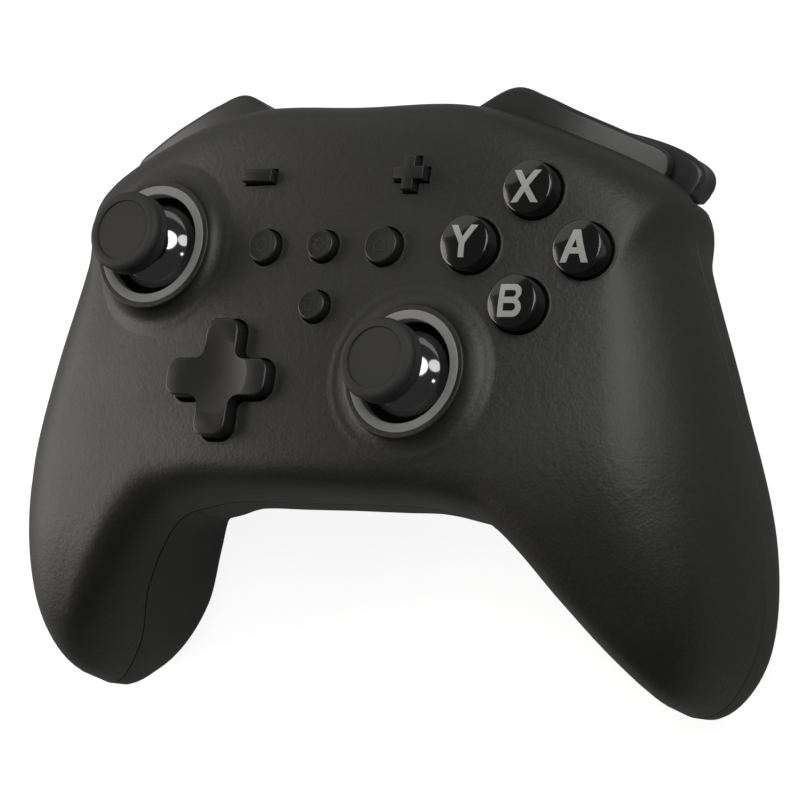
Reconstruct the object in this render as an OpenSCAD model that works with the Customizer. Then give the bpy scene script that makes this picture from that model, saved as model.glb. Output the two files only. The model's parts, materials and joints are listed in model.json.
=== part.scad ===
// Handheld gamepad controller with two thumbsticks, drawn as the pieces it comes apart into.
// Millimetres. The pad lies on its back: the grips and the battery hump rest on z = 0.
// Pieces are drawn in the frame of the face (x right, y towards the top edge, z out of the face)
// and then laid down by rest(). The line through the action buttons is y = 0.

/* [Body] */
// Overall width across the grips
body_w = 153.2; // [148:0.2:162]
// Rise from the line of the action buttons to the top edge
top_y = 28; // [27:0.5:32]
// Height of the face from its top edge to its lower edge
face_h = 73.5; // [72:0.5:80]
// How far the grips reach below the face's lower edge
grip_drop = 30.5; // [27:0.5:36]
// Depth of the body behind the face at its middle
body_d = 28; // [27.5:0.5:32]
// Depth of the grips behind the face
grip_d = 56; // [52:0.5:60]
// Wall of the shells
wall = 2; // [1.6:0.1:2.4]
// Width of the seam between the shells
seam = 0.3; // [0.2:0.05:0.4]
// Angle at which the pad lies, between its face and the table
rest_tilt = 16; // [14:0.5:18]

/* [Thumbsticks] */
// Distance of the upper stick and of the action buttons from the pad's side
cluster_inset = 36; // [34:0.5:38]
// Distance of the lower stick from the middle
lower_stick_x = 21.2; // [20:0.2:24]
// Distance of the lower stick below the action buttons
lower_stick_y = 23.8; // [23:0.2:25]
// Outer radius of the ring around a stick
ring_r = 11.3; // [11:0.1:11.8]
// Width of that ring
ring_w = 1.7; // [1.4:0.1:1.9]
// Radius of the stick's cap
cap_r = 7.6; // [7.2:0.1:8.4]
// Height of the stick's cap
cap_h = 5.6; // [5:0.1:7]
// Radius of the dome under the cap
dome_r = 9; // [8.8:0.1:9.1]
// Radius of the stick's shaft
shaft_r = 1.9; // [1.6:0.1:2]

/* [Buttons] */
// Distance of an action button from the middle of its diamond
action_step = 10.5; // [10.4:0.1:11.2]
// Radius of an action button
action_r = 5; // [4.6:0.1:5]
// How far an action button stands out of the face
action_rise = 3.1; // [2.4:0.1:3.6]
// Travel of an action button
action_travel = 1.5; // [1:0.1:1.6]
// How far a small button stands out of the face
small_rise = 1.8; // [1.4:0.1:2.2]
// Travel of a small button
small_travel = 1; // [0.6:0.1:1.1]
// Gap round a button
button_gap = 0.4; // [0.3:0.05:0.5]
// Length of the direction pad from arm end to arm end
dpad_len = 22; // [20:0.5:23]
// Width of the direction pad's arms
dpad_arm = 7; // [6.4:0.1:7.4]
// How far the direction pad stands out of the face
dpad_rise = 3; // [2.4:0.1:3.4]

/* [Shoulder] */
// Height by which a bumper's peak stands above the top edge
bumper_rise = 5.2; // [4.2:0.1:5.6]
// Radius of the trigger's pin
pin_r = 1; // [0.8:0.1:1.2]
// Length of the trigger's pin
pin_len = 22; // [20:0.5:23]

/* [Inside] */
// Depth of the main board's upper side behind the face
board_z = 13; // [13:0.1:13.6]
// Thickness of the main board
board_t = 1.2; // [1:0.1:1.6]
// Radius of a rumble motor
motor_r = 6; // [5:0.1:6.4]
// Length of a rumble motor
motor_len = 12; // [10:0.5:13]
// Radius of the spinning weight
weight_r = 6.5; // [5.6:0.1:7]
// Width of the cell inside the battery hump
cell_w = 34; // [30:0.5:35]
// Thickness of the cell
cell_t = 7; // [5:0.1:7.6]
// Radius of a case screw's shank
screw_r = 1; // [0.8:0.05:1.1]

/* [Hidden] */
$fn = 64;

// Clearances
slip = 0.05;
loose = 0.3;
overlap = 0.6;

// Places on the face
half_w = body_w / 2;
low_y = top_y - face_h;
tip_y = low_y - grip_drop;
cluster_x = half_w - cluster_inset;
stick_left = [-cluster_x + 2.8, 0];
stick_right = [lower_stick_x, -lower_stick_y];
dpad_at = [-18.2, low_y + 20];
row_step = 12.8;
row_y = -0.5;
macro_y = -11.8;
menu_x = 16.4;
menu_y = 13;
capture_r = 3.1;
settings_r = 2.8;
home_r = 3.4;
bar_l = 6.4;
bar_w = 2.4;

// Shape of the shells: the outer edge runs from the top middle round the side to the tip of
// the grip, the inner edge from the lower middle round the gap to the same tip
outer_edge = [
  [0, top_y, -9], [23.5, top_y, -9], [43, top_y - 4.6, -11], [half_w - 15.3, top_y - 12.4, -20],
  [half_w - 13.1, top_y - 24, -25], [half_w - 6, low_y + 27.5, -30],
  [half_w - 0.4, low_y + 4, 18.5 - grip_d], [half_w - 0.9, tip_y + 14, 13 - grip_d],
  [half_w - 8.7, tip_y + 0.5, 11 - grip_d]];
inner_edge = [
  [0, low_y, -13], [10.5, low_y, -13], [20.5, low_y, -14], [28, low_y - 1, -15.5],
  [34, low_y - 2.5, -17], [half_w - 37, low_y - 7, -20], [half_w - 30, tip_y + 15.5, 29.5 - grip_d],
  [half_w - 23, tip_y + 7.5, 19.5 - grip_d], [half_w - 15, tip_y, 13 - grip_d]];
outer_round = [7.5, 7.5, 9, 11.5, 15, 17, 18.5, 16.5, 12];
inner_round = [5.5, 5.5, 6, 7, 7.5, 8, 8.5, 8, 6.5];
back_z = [-body_d, -body_d - 0.5, -body_d - 2.5, -36, -38.5, -45, 2 - grip_d, -grip_d, 4 - grip_d];
crown = 0.0022;
bend = 0.0093;
bend_y = -30.5;
front_power = 2.2;
back_power = 2.5;
tip_round = 0.9;
tip_wall = 0.45;
tip_bulge = 1.5;
rim_drop = 0.2;
last_u = len(outer_edge) - 1;
cover_u = 3.51;
rear_u = 3.49;
steps = 4;
across = 14;

function mix(a, b, f) = a + (b - a) * f;

// A smooth curve through the points of a list, at u counted in points
function spline(list, u) =
  let (
    n = len(list) - 1,
    i = min(floor(u), n - 1),
    f = u - i,
    b = list[i],
    c = list[i + 1],
    a = i > 0 ? list[i - 1] : 2 * b - c,
    d = i + 2 <= n ? list[i + 2] : 2 * c - b)
  0.5 * (2 * b + (c - a) * f + (2 * a - 5 * b + 4 * c - d) * f * f
    + (3 * b - a - 3 * c + d) * f * f * f);

// Rises from 0 to 1 along a rounded quarter
function soft(u, power) = u >= 1 ? 1 : pow(1 - pow(1 - max(u, 0), power), 1 / power);

function face_z(x, y) = -crown * x * x - bend * pow(max(0, bend_y - y), 2);

// A point of the front or back skin, moved in by inset; u runs along the edges and t across
function skin_point(u, t, inset, front) =
  let (
    s = abs(u),
    o = spline(outer_edge, s),
    i = spline(inner_edge, s),
    span = norm([i.x - o.x, i.y - o.y]),
    room = span - 2 * inset,
    p = mix(o, i, inset / span + room / span * t),
    power = front ? front_power : back_power,
    r_o = min(max(spline(outer_round, s) - inset, 1), room / 2),
    r_i = min(max(spline(inner_round, s) - inset, 1), room / 2),
    end_u = inset > 0 ? last_u - tip_wall : last_u,
    bulge = tip_bulge * pow(4 * t * (1 - t) * max(0, s - last_u + 1), 2),
    lift = soft(room * t / r_o, power) * soft(room * (1 - t) / r_i, power)
      * soft((end_u - s) / tip_round, power),
    far = front ? face_z(p.x, p.y) - inset : spline(back_z, s) + inset,
    edge = p.z + (front ? seam / 2 : -seam / 2) - (front && inset > 0 ? rim_drop : 0))
  [u < 0 ? -p.x : p.x, p.y - bulge, edge + (far - edge) * lift];

ts = [for (k = [0 : across]) (1 - cos(180 * k / across)) / 2];

// A curved wall between two ranges of u, closed all round its rim
module skin(from_u, to_u, inner_from, inner_to, front) {
  n = ceil((to_u - from_u) * steps);
  m = across + 1;
  outside = [for (k = [0 : n]) for (t = ts) skin_point(mix(from_u, to_u, k / n), t, 0, front)];
  inside = [for (k = [0 : n]) for (t = ts) skin_point(mix(inner_from, inner_to, k / n), t, wall, front)];
  base = (n + 1) * m;
  quads = concat(
    [for (i = [0 : n - 1]) for (j = [0 : m - 2])
      [i * m + j, (i + 1) * m + j, (i + 1) * m + j + 1, i * m + j + 1]],
    [for (i = [0 : n - 1]) for (j = [0 : m - 2])
      [base + i * m + j, base + i * m + j + 1, base + (i + 1) * m + j + 1, base + (i + 1) * m + j]],
    [for (i = [0 : n - 1]) [i * m, base + i * m, base + (i + 1) * m, (i + 1) * m]],
    [for (i = [0 : n - 1])
      [i * m + m - 1, (i + 1) * m + m - 1, base + (i + 1) * m + m - 1, base + i * m + m - 1]],
    [for (j = [0 : m - 2]) [j, j + 1, base + j + 1, base + j]],
    [for (j = [0 : m - 2])
      [n * m + j + 1, n * m + j, base + n * m + j, base + n * m + j + 1]]);
  tris = [for (q = quads) each [[q[0], q[1], q[2]], [q[0], q[2], q[3]]]];
  polyhedron(concat(outside, inside), front ? tris : [for (f = tris) [f[2], f[1], f[0]]]);
}

// The pad as it lies: turned back by rest_tilt, lowest point just under z = 0, centred on x and y
function laid(p) = [p.x, p.y * cos(rest_tilt) + p.z * sin(rest_tilt),
  p.z * cos(rest_tilt) - p.y * sin(rest_tilt)];
flat_cut = 0.4;
back_points = [for (s = [0 : 0.25 : last_u]) for (t = ts) laid(skin_point(s, t, 0, false))];
rest_z = -min([for (p = back_points) p.z]) - flat_cut;
far_low = min([for (p = back_points) p.y]);
far_high = laid([30, top_y + bumper_rise - 0.9, -9.5]).y;
rest_y = -(far_low + far_high) / 2;

module rest() {
  translate([0, rest_y, rest_z]) rotate([-rest_tilt, 0, 0]) children();
}

module table_cut() {
  translate([-half_w * 2, -half_w * 2, -20]) cube([half_w * 4, half_w * 4, 20]);
}

module pair() {
  children();
  mirror([1, 0, 0]) children();
}

module rod(r, a, b) {
  translate([0, 0, a]) cylinder(r = r, h = b - a);
}

module tube(r, hole, a, b) {
  translate([0, 0, a]) difference() {
    cylinder(r = r, h = b - a);
    translate([0, 0, -1]) cylinder(r = hole, h = b - a + 2);
  }
}

module round_rect(w, h, r) {
  square([w - 2 * r, h], center = true);
  square([w, h - 2 * r], center = true);
  for (x = [-1, 1]) for (y = [-1, 1]) translate([x * (w / 2 - r), y * (h / 2 - r)]) circle(r);
}

// Thumbstick levels
ring_z = 1;
ring_t = 2.2;
pivot_z = -4.6;
ledge_r = ring_r - ring_w + 0.1;
lip_r = ring_r + 1.1;
foot_r = lip_r + 3.8;
dome_t = 0.8;
dome_edge = 80;
neck_r = 3.4;
neck_z = pivot_z + sqrt(dome_r * dome_r - neck_r * neck_r);
cap_z = 5.2;
cap_top = cap_z + cap_h;
shaft_top = cap_top - 1.8;
shaft_low = pivot_z - 2.2;
hub_r = 3.2;
hub_h = 1.5;
yoke_in = 4;
yoke_r = 5.5;
yoke_h = 1.3;
trunnion_r = 0.9;
ear_x = 5.8;
ear_t = 1.1;
stick_foot = 15;
click = 0.5;

module at_stick(p) {
  translate([p.x, p.y, 0]) children();
}

// Raised collar of the shell, flaring out to the face in a hollow curve
module collar(p) {
  low = face_z(abs(p.x) + foot_r, p.y) - 0.8;
  reach = foot_r - lip_r;
  rise = ring_z - 0.3 - (low + 0.8);
  at_stick(p) rotate_extrude() polygon(concat(
    [[ledge_r, low], [ledge_r, ring_z - 0.2], [lip_r, ring_z - 0.2]],
    [for (a = [0 : 10 : 90])
      [foot_r - reach * cos(a), low + 0.8 + rise * (1 - sin(a))]],
    [[foot_r, low]]));
}

module stick_hole(p) {
  at_stick(p) {
    rod(ledge_r, -20, 20);
    rod(ring_r + slip, ring_z - ring_t, 20);
  }
}

module stick_ring(p) {
  color("gray") rest() at_stick(p) tube(ring_r, ring_r - ring_w, ring_z - ring_t, ring_z);
}

module stick_cap(p) {
  dish = 0.5;
  color("#2b2b2b") rest() at_stick(p) difference() {
    rotate_extrude() polygon(concat(
      [[0, cap_z], [cap_r - 1.1, cap_z], [cap_r - 0.1, cap_z + 1.3], [cap_r, cap_z + 1.8]],
      [for (a = [0 : 15 : 90]) [cap_r - 1.8 + 1.5 * cos(a), cap_top - 1.5 + 1.5 * sin(a)]],
      [[cap_r * 0.55, cap_top - dish * 0.7], [0, cap_top - dish]]));
    rod(shaft_r + slip, cap_z - 1, shaft_top + slip);
  }
}

module stick_dome(p) {
  inner = dome_r - dome_t;
  flat = asin(neck_r / dome_r);
  color("dimgray") rest() at_stick(p) translate([0, 0, pivot_z]) rotate_extrude() polygon(concat(
    [for (a = [flat : 4 : dome_edge]) [dome_r * sin(a), dome_r * cos(a)]],
    [for (a = [dome_edge : -4 : 20]) [inner * sin(a), inner * cos(a)]],
    [[shaft_r + slip, inner * cos(20)], [shaft_r + slip, dome_r * cos(flat)]]));
}

module stick_shaft(p) {
  color("#1c1c1c") rest() at_stick(p) {
    rod(shaft_r, shaft_low, shaft_top);
    rod(neck_r, neck_z, cap_z);
  }
}

module stick_pivot(p) {
  color("silver") rest() at_stick(p) translate([0, 0, pivot_z]) difference() {
    union() {
      rod(hub_r, -hub_h, hub_h);
      rotate([90, 0, 0]) rod(trunnion_r, -yoke_r + loose, yoke_r - loose);
    }
    rod(shaft_r + 2 * slip, -5, 5);
  }
}

module stick_yoke(p) {
  color("darkgray") rest() at_stick(p) translate([0, 0, pivot_z]) difference() {
    union() {
      tube(yoke_r, yoke_in, -yoke_h, yoke_h);
      for (s = [0, 180]) rotate([0, 90, s]) rod(trunnion_r, yoke_in + 0.5, ear_x + ear_t);
    }
    rotate([90, 0, 0]) rod(trunnion_r + slip, -yoke_r - 1, yoke_r + 1);
  }
}

module stick_base(p) {
  floor_z = -board_z + 1;
  color("#3a3a40") rest() at_stick(p) difference() {
    union() {
      translate([-stick_foot / 2, -stick_foot / 2, -board_z]) cube([stick_foot, stick_foot, 1]);
      for (s = [-1, 1])
        translate([s * (ear_x + ear_t / 2) - ear_t / 2, -1.5, floor_z - overlap])
          cube([ear_t, 3, pivot_z + 1.5 - floor_z + overlap]);
      rod(1.2, floor_z - overlap, shaft_low - click - 3 * loose);
    }
    translate([0, 0, pivot_z]) rotate([0, 90, 0]) rod(trunnion_r + slip, -10, 10);
  }
}

// Buttons: a cap in a guide of the front shell, held in by two lugs under the guide
guide_t = 1.1;
flange_t = 0.9;
flange_w = 0.7;
lug_share = 0.5;
action_guide_z = -8.6;
small_guide_z = -4.2;
membrane_t = 1;
bump_r = 2.6;
stem_r = 1.6;
action_at = [cluster_x, 0];
button_dirs = [["a", [1, 0]], ["b", [0, -1]], ["x", [0, 1]], ["y", [-1, 0]]];

function action_place(k) = action_at + action_step * button_dirs[k][1];

// Round buttons of the middle: place and radius
small_round = [
  [[-row_step, row_y], capture_r], [[0, row_y], settings_r],
  [[row_step, row_y], home_r], [[0, macro_y], settings_r]];

module on(p) {
  translate([p.x, p.y, 0]) children();
}

module round_button(p, r, rise, guide_z, travel, dome) {
  top = face_z(p.x, p.y) + rise;
  stem_z = -board_z + membrane_t + bump_h(travel);
  rest() on(p) {
    rotate_extrude() polygon(concat(
      [[0, guide_z - slip - flange_t], [r, guide_z - slip - flange_t]],
      [for (a = [0 : 15 : 60]) [r - 0.7 + 0.7 * cos(a), top - 0.7 + 0.7 * sin(a)]],
      [[r * 0.55, top + dome * 0.7], [0, top + dome]]));
    rod(stem_r, stem_z + travel + loose, guide_z - flange_t);
    intersection() {
      rod(r + flange_w, guide_z - slip - flange_t, guide_z - slip);
      translate([-lug_share * r, -2 * r, guide_z - 2 * flange_t]) cube([2 * lug_share * r, 4 * r, 2 * flange_t]);
    }
  }
}

// Height of a membrane's bump under a button of the given travel
function bump_h(travel) = 0.6;

module guide(p, r, guide_z) {
  on(p) rod(r + button_gap + guide_t, guide_z, face_z(abs(p.x) + r, p.y) - wall / 2);
}

module button_hole(p, r) {
  on(p) rod(r + button_gap, -20, 20);
}

module action_button(k) {
  color("#111111")
    round_button(action_place(k), action_r, action_rise, action_guide_z, action_travel, 0.5);
}

module small_button(k) {
  color("#202020") round_button(small_round[k][0], small_round[k][1], small_rise, small_guide_z,
    small_travel, 0.15);
}

module plus_shape(grow) {
  square([bar_l + 2 * grow, bar_w + 2 * grow], center = true);
  square([bar_w + 2 * grow, bar_l + 2 * grow], center = true);
}

module minus_shape(grow) {
  square([bar_l + 2 * grow, bar_w + 2 * grow], center = true);
}

module menu_button(side) {
  p = [side * menu_x, menu_y];
  top = face_z(p.x, p.y) + small_rise;
  stem_z = -board_z + membrane_t + bump_h(small_travel) + small_travel + loose;
  color("#202020") rest() on(p) {
    translate([0, 0, small_guide_z - slip]) linear_extrude(top - small_guide_z + slip) {
      if (side > 0) plus_shape(0);
      else minus_shape(0);
    }
    translate([0, 0, small_guide_z - slip - flange_t]) linear_extrude(flange_t) {
      if (side > 0) plus_shape(flange_w);
      else minus_shape(flange_w);
    }
    rod(bar_w / 2, stem_z, small_guide_z - flange_t);
  }
}

module menu_guide(side) {
  p = [side * menu_x, menu_y];
  reach = button_gap + guide_t;
  on(p) translate([-bar_l / 2 - reach, -bar_l / 2 - reach, small_guide_z])
    cube([bar_l + 2 * reach, bar_l + 2 * reach, face_z(p.x + bar_l / 2, p.y) - wall / 2 - small_guide_z]);
}

module menu_hole(side) {
  on([side * menu_x, menu_y]) translate([0, 0, -20]) linear_extrude(40) {
    if (side > 0) plus_shape(button_gap);
    else minus_shape(button_gap);
  }
}

module bump(p, travel) {
  on(p) rod(bump_r, -board_z + membrane_t - slip, -board_z + membrane_t + bump_h(travel));
}

module membrane_sheet() {
  translate([0, 0, -board_z]) linear_extrude(membrane_t) children();
}

module action_membrane() {
  color("#8a8f94") rest() {
    membrane_sheet() {
      for (k = [0 : 3]) translate(action_place(k)) circle(bump_r + 1.2);
      translate(action_at) square([2 * action_step, bar_w], center = true);
      translate(action_at) square([bar_w, 2 * action_step], center = true);
    }
    for (k = [0 : 3]) bump(action_place(k), action_travel);
  }
}

module centre_membrane() {
  color("#8a8f94") rest() {
    membrane_sheet() {
      for (b = small_round) translate(b[0]) circle(bump_r + 1.2);
      for (s = [-1, 1]) translate([s * menu_x, menu_y]) circle(bump_r + 1.2);
      translate([0, row_y]) square([2 * row_step, bar_w], center = true);
      translate([0, menu_y]) square([2 * menu_x, bar_w], center = true);
      translate([0, (macro_y + menu_y) / 2]) square([bar_w, menu_y - macro_y], center = true);
    }
    for (b = small_round) bump(b[0], small_travel);
    for (s = [-1, 1]) bump([s * menu_x, menu_y], small_travel);
  }
}

// Direction pad: a cross that rocks both ways on a cross-shaped pin
dpad_gap = 0.55;
dpad_end_r = 2.4;
dpad_fillet = 1.8;
dpad_top = face_z(dpad_at.x, dpad_at.y) + dpad_rise;
dpad_under = dpad_top - 3.6;
rocker_z = -3.4;
rocker_r = 0.8;
rocker_in = 3.3;
rocker_ear = 1.2;
pusher_at = 8;
pusher_z = -9.6;

// The cross in plan: rounded arm ends and rounded inner corners
module dpad_shape(grow) {
  arm = dpad_arm + 2 * grow;
  len = dpad_len + 2 * grow;
  corner = arm / 2 + dpad_fillet;
  difference() {
    union() {
      round_rect(len, arm, dpad_end_r + grow);
      round_rect(arm, len, dpad_end_r + grow);
      square(2 * corner, center = true);
    }
    for (x = [-1, 1]) for (y = [-1, 1]) translate([x * corner, y * corner]) circle(dpad_fillet);
  }
}

module dpad() {
  color("#1d1d1d") rest() on(dpad_at) difference() {
    union() {
      translate([0, 0, dpad_under]) linear_extrude(dpad_top - dpad_under) dpad_shape(0);
      for (s = [-1, 1])
        translate([-rocker_ear, s * (rocker_in + rocker_ear / 2) - rocker_ear / 2, rocker_z - rocker_ear - 0.2])
          cube([2 * rocker_ear, rocker_ear, dpad_under - rocker_z + rocker_ear + overlap]);
      for (d = [[1, 0], [-1, 0], [0, 1], [0, -1]])
        on(pusher_at * d) rod(rocker_ear, pusher_z, dpad_under + overlap);
    }
    translate([0, 0, rocker_z]) rotate([90, 0, 0]) rod(rocker_r + slip, -10, 10);
    translate([0, 0, dpad_top + 38.8]) sphere(39.4, $fn = 128);
  }
}

module dpad_pivot() {
  reach = rocker_in + rocker_ear;
  color("silver") rest() on(dpad_at) translate([0, 0, rocker_z]) {
    rotate([90, 0, 0]) rod(rocker_r, -reach, reach);
    rotate([0, 90, 0]) rod(rocker_r, -reach, reach);
  }
}

module dpad_bracket() {
  color("darkgray") rest() on(dpad_at) difference() {
    union() {
      translate([-rocker_in - rocker_ear, -2, -board_z]) cube([2 * (rocker_in + rocker_ear), 4, 1]);
      for (s = [-1, 1])
        translate([s * (rocker_in + rocker_ear / 2) - rocker_ear / 2, -rocker_ear, -board_z + 0.5])
          cube([rocker_ear, 2 * rocker_ear, rocker_z + rocker_ear + board_z - 0.5]);
    }
    translate([0, 0, rocker_z]) rotate([0, 90, 0]) rod(rocker_r + slip, -10, 10);
  }
}

module dpad_membrane() {
  color("#8a8f94") rest() on(dpad_at) {
    difference() {
      membrane_sheet() round_rect(dpad_len, dpad_len, 4);
      translate([0, 0, -20]) linear_extrude(20) square([2 * (rocker_in + rocker_ear) + 1, 5], center = true);
    }
    for (d = [[1, 0], [-1, 0], [0, 1], [0, -1]]) bump(pusher_at * d, 0);
  }
}

// Case screws: front boss and rear boss meet at mid height, the screw comes from behind
screw_at = [[26, 9], [12, low_y + 6], [half_w - 15.5, tip_y + 15]];
screw_u = [1.2, 1, 7];
screw_meet = [-18, -18, -34];
screw_boss_r = 2.6;
screw_head_r = 1.9;
screw_head_h = 1.4;
screw_bite = 8;
screw_web = 2;

module front_bosses() {
  for (k = [0 : 2]) pair() on(screw_at[k])
    rod(screw_boss_r, screw_meet[k], face_z(screw_at[k].x + screw_boss_r, screw_at[k].y) - 0.75 * wall);
}

module front_boss_bores() {
  for (k = [0 : 2]) pair() on(screw_at[k])
    rod(screw_r + slip, screw_meet[k] - 1, screw_meet[k] + screw_bite + 1);
}

// Level inside the rear wall, where what stands on it starts
function rear_floor(u) = spline(back_z, u) + wall / 2;

module rear_boss(k) {
  on(screw_at[k]) rod(screw_boss_r, rear_floor(screw_u[k]), screw_meet[k] - slip);
}

module rear_boss_bore(k) {
  on(screw_at[k]) {
    rod(screw_r + slip, -80, 0);
    rod(screw_head_r + slip, -80, screw_meet[k] - slip - screw_web);
  }
}

module case_screws() {
  color("silver") rest() for (k = [0 : 2]) pair() on(screw_at[k]) {
    seat = screw_meet[k] - slip - screw_web;
    rod(screw_r, seat - 0.1, screw_meet[k] + screw_bite);
    rod(screw_head_r, seat - screw_head_h, seat);
  }
}

module front_shell() {
  color("#343434") rest() difference() {
    union() {
      skin(-last_u, last_u, tip_wall - last_u, last_u - tip_wall, true);
      collar(stick_left);
      collar(stick_right);
      for (k = [0 : 3]) guide(action_place(k), action_r, action_guide_z);
      for (b = small_round) guide(b[0], b[1], small_guide_z);
      for (s = [-1, 1]) menu_guide(s);
      front_bosses();
    }
    stick_hole(stick_left);
    stick_hole(stick_right);
    for (k = [0 : 3]) button_hole(action_place(k), action_r);
    for (b = small_round) button_hole(b[0], b[1]);
    for (s = [-1, 1]) menu_hole(s);
    on(dpad_at) translate([0, 0, -20]) linear_extrude(40) dpad_shape(dpad_gap);
    front_boss_bores();
  }
}

// Rear shell: the middle of the back, with the battery hump that the pad lies on
hump_wall = 1.8;
hump_w = cell_w + 2 * (hump_wall + loose);
hump_l = 22;
hump_y = 9.5;
hump_r = 5;
hump_open = 14;
hump_room = 7.5;
foot_x = 31;
foot_w = 4;
foot_u = 1.6;
frame_y = 13;
frame_t = 3;
frame_top = -board_z - board_t;
frame_low = -body_d + wall + 0.8;
usb_w = 9;
usb_h = 3.2;
usb_l = 8;
usb_z = -board_z - board_t - usb_h / 2;
usb_out = top_y - 0.6;
post_at = [33, -34];
post_u = 2.8;
post_r = 2.5;
post_bore = 0.8;

// The hump's place where the pad lies, above the table
module in_hump() {
  translate([0, rest_y + laid([0, hump_y, -body_d - 5]).y, 0]) children();
}

module hump_outside() {
  in_hump() linear_extrude(hump_open) round_rect(hump_w, hump_l, hump_r);
}

module hump_inside() {
  in_hump() translate([0, 0, hump_wall]) linear_extrude(hump_open)
    round_rect(hump_w - 2 * hump_wall, hump_l - 2 * hump_wall, hump_r - hump_wall);
}

// Opening for the bumper and trigger, a band along the top edge
module shoulder_opening() {
  translate([0, 0, -80]) linear_extrude(80) polygon(concat(
    [for (k = [0 : opening_steps])
      let (u = mix(opening_from, opening_to, k / opening_steps))
      flat(beside(u, u < opening_step ? -opening_deep : -opening_slim))],
    [for (k = [opening_steps : -1 : 0]) flat(beside(mix(opening_from, opening_to, k / opening_steps), 15))]));
}

module rear_shell() {
  color("#2d2d2d") difference() {
    union() {
      rest() skin(-rear_u, rear_u, -rear_u, rear_u, false);
      hump_outside();
      rest() pair() {
        rear_boss(0);
        rear_boss(1);
        on(post_at) rod(post_r, rear_floor(post_u), frame_top);
        translate([foot_x, frame_y, rear_floor(foot_u)])
          cube([foot_w, frame_t, frame_low - rear_floor(foot_u)]);
      }
    }
    hump_inside();
    rest() {
      pair() {
        rear_boss_bore(0);
        rear_boss_bore(1);
        on(post_at) rod(post_bore + slip, frame_top - 6, frame_top + 1);
        shoulder_opening();
      }
      translate([-usb_w / 2 - loose, usb_out - 6, usb_z - usb_h / 2 - loose])
        cube([usb_w + 2 * loose, 12, usb_h + 2 * loose]);
    }
    table_cut();
  }
}

// Rumble motors lie in cradles of the grip covers
motor_at = [half_w - 17, tip_y + 24, 18 - grip_d];
cradle_w = 2 * motor_r - 2;
cradle_l = 6;
cradle_u = 5.9;
motor_shaft_r = 1;
weight_t = 5;

module at_motor() {
  translate(motor_at) rotate([-90, 0, 0]) children();
}

module grip_cover() {
  difference() {
    union() {
      skin(cover_u, last_u, cover_u, last_u - tip_wall, false);
      translate([motor_at.x - cradle_w / 2, motor_at.y - cradle_l, rear_floor(cradle_u)])
        cube([cradle_w, cradle_l, motor_at.z - 2 - rear_floor(cradle_u)]);
      rear_boss(2);
    }
    at_motor() rod(motor_r + slip, -motor_len / 2 - loose, motor_len / 2 + loose);
    rear_boss_bore(2);
  }
}

module right_grip_cover() {
  color("#3c3c3a") difference() {
    rest() grip_cover();
    table_cut();
  }
}

module left_grip_cover() {
  color("#3c3c3a") difference() {
    rest() mirror([1, 0, 0]) grip_cover();
    table_cut();
  }
}

module rumble_motor(side) {
  color("silver") rest() scale_x(side) at_motor() {
    rod(motor_r, -motor_len / 2, motor_len / 2);
    rod(motor_shaft_r, motor_len / 2 - 1, motor_len / 2 + loose + weight_t);
  }
}

module rumble_weight(side) {
  low = motor_len / 2 + loose;
  color("goldenrod") rest() scale_x(side) at_motor() difference() {
    rod(weight_r, low, low + weight_t);
    rod(motor_shaft_r + slip, low - 1, low + weight_t + 1);
    translate([-weight_r - 1, 1.8, low - 1]) cube([2 * weight_r + 2, weight_r, weight_t + 2]);
  }
}

module scale_x(side) {
  if (side > 0) children();
  else mirror([1, 0, 0]) children();
}

// Shoulder: bumpers and triggers follow the top edge
opening_from = 0.9;
opening_to = 3.22;
opening_step = 2.15;
opening_steps = 24;
opening_deep = 7.5;
opening_slim = 4.4;
bumper_from = 0.94;
bumper_to = 2.92;
bumper_steps = 14;
bumper_deep = [3.5, 3.5, 2.6, 1.6, 1.3, 1.3, 1.3];
bumper_low = -20.5;
bumper_out = [0.08, 1, 0.96, 0.83, 0.73, 0.56, 0.25];
trigger_from = 1.2;
trigger_to = 3.02;
trigger_steps = 12;
trigger_top = [-21, -21, -21.2, -21.6, -22.4];
trigger_out = [1.7, 4, 4.7, 4.6, 3.7];
trigger_in = [-6, -4.8, 0.8, -0.4, -1.8];
trigger_deep = [6.5, 7.8, 7.8, 7.6, 6];
hinge_y = 21.5;
hinge_z = -23.2;
hub_out = 2.2;
trigger_x = 27;
trigger_hub_l = 17;
pin_x = trigger_x - 2.2;
lug_t = 1.5;
lug_x = pin_x + pin_len - lug_t - trigger_x;
lug_rise = pin_r + 0.6;
lug_room = norm([lug_rise, hub_out]) + loose;
frame_end = 5.7;
frame_side = trigger_x + lug_x + lug_t + frame_end;
eye_at = [18.3, 22];
eye_r = 2.6;
eye_pin_r = 1.2;
eye_high = -11.5;
eye_low = -17;
eye_lug = 2;
eye_web = 4.8;

// Outward direction of the outer edge
function edge_out(u) =
  let (d = spline(outer_edge, u + 0.02) - spline(outer_edge, u - 0.02), n = norm([d.x, d.y]))
  [-d.y / n, d.x / n];

// A point out from the outer edge by n, at level z
function beside(u, n, z = 0) =
  let (o = spline(outer_edge, u), e = edge_out(u))
  [o.x + e.x * n, o.y + e.y * n, z];

function flat(p) = [p.x, p.y];

// A closed bar with the given cross-section rings
module loft(rings) {
  m = len(rings[0]);
  n = len(rings) - 1;
  polyhedron([for (r = rings) each r], concat(
    [[for (j = [m - 1 : -1 : 0]) j]],
    [for (i = [0 : n - 1]) for (j = [0 : m - 1]) each
      [[i * m + j, (i + 1) * m + (j + 1) % m, (i + 1) * m + j],
        [i * m + j, i * m + (j + 1) % m, (i + 1) * m + (j + 1) % m]]],
    [[for (j = [0 : m - 1]) n * m + j]]));
}

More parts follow.
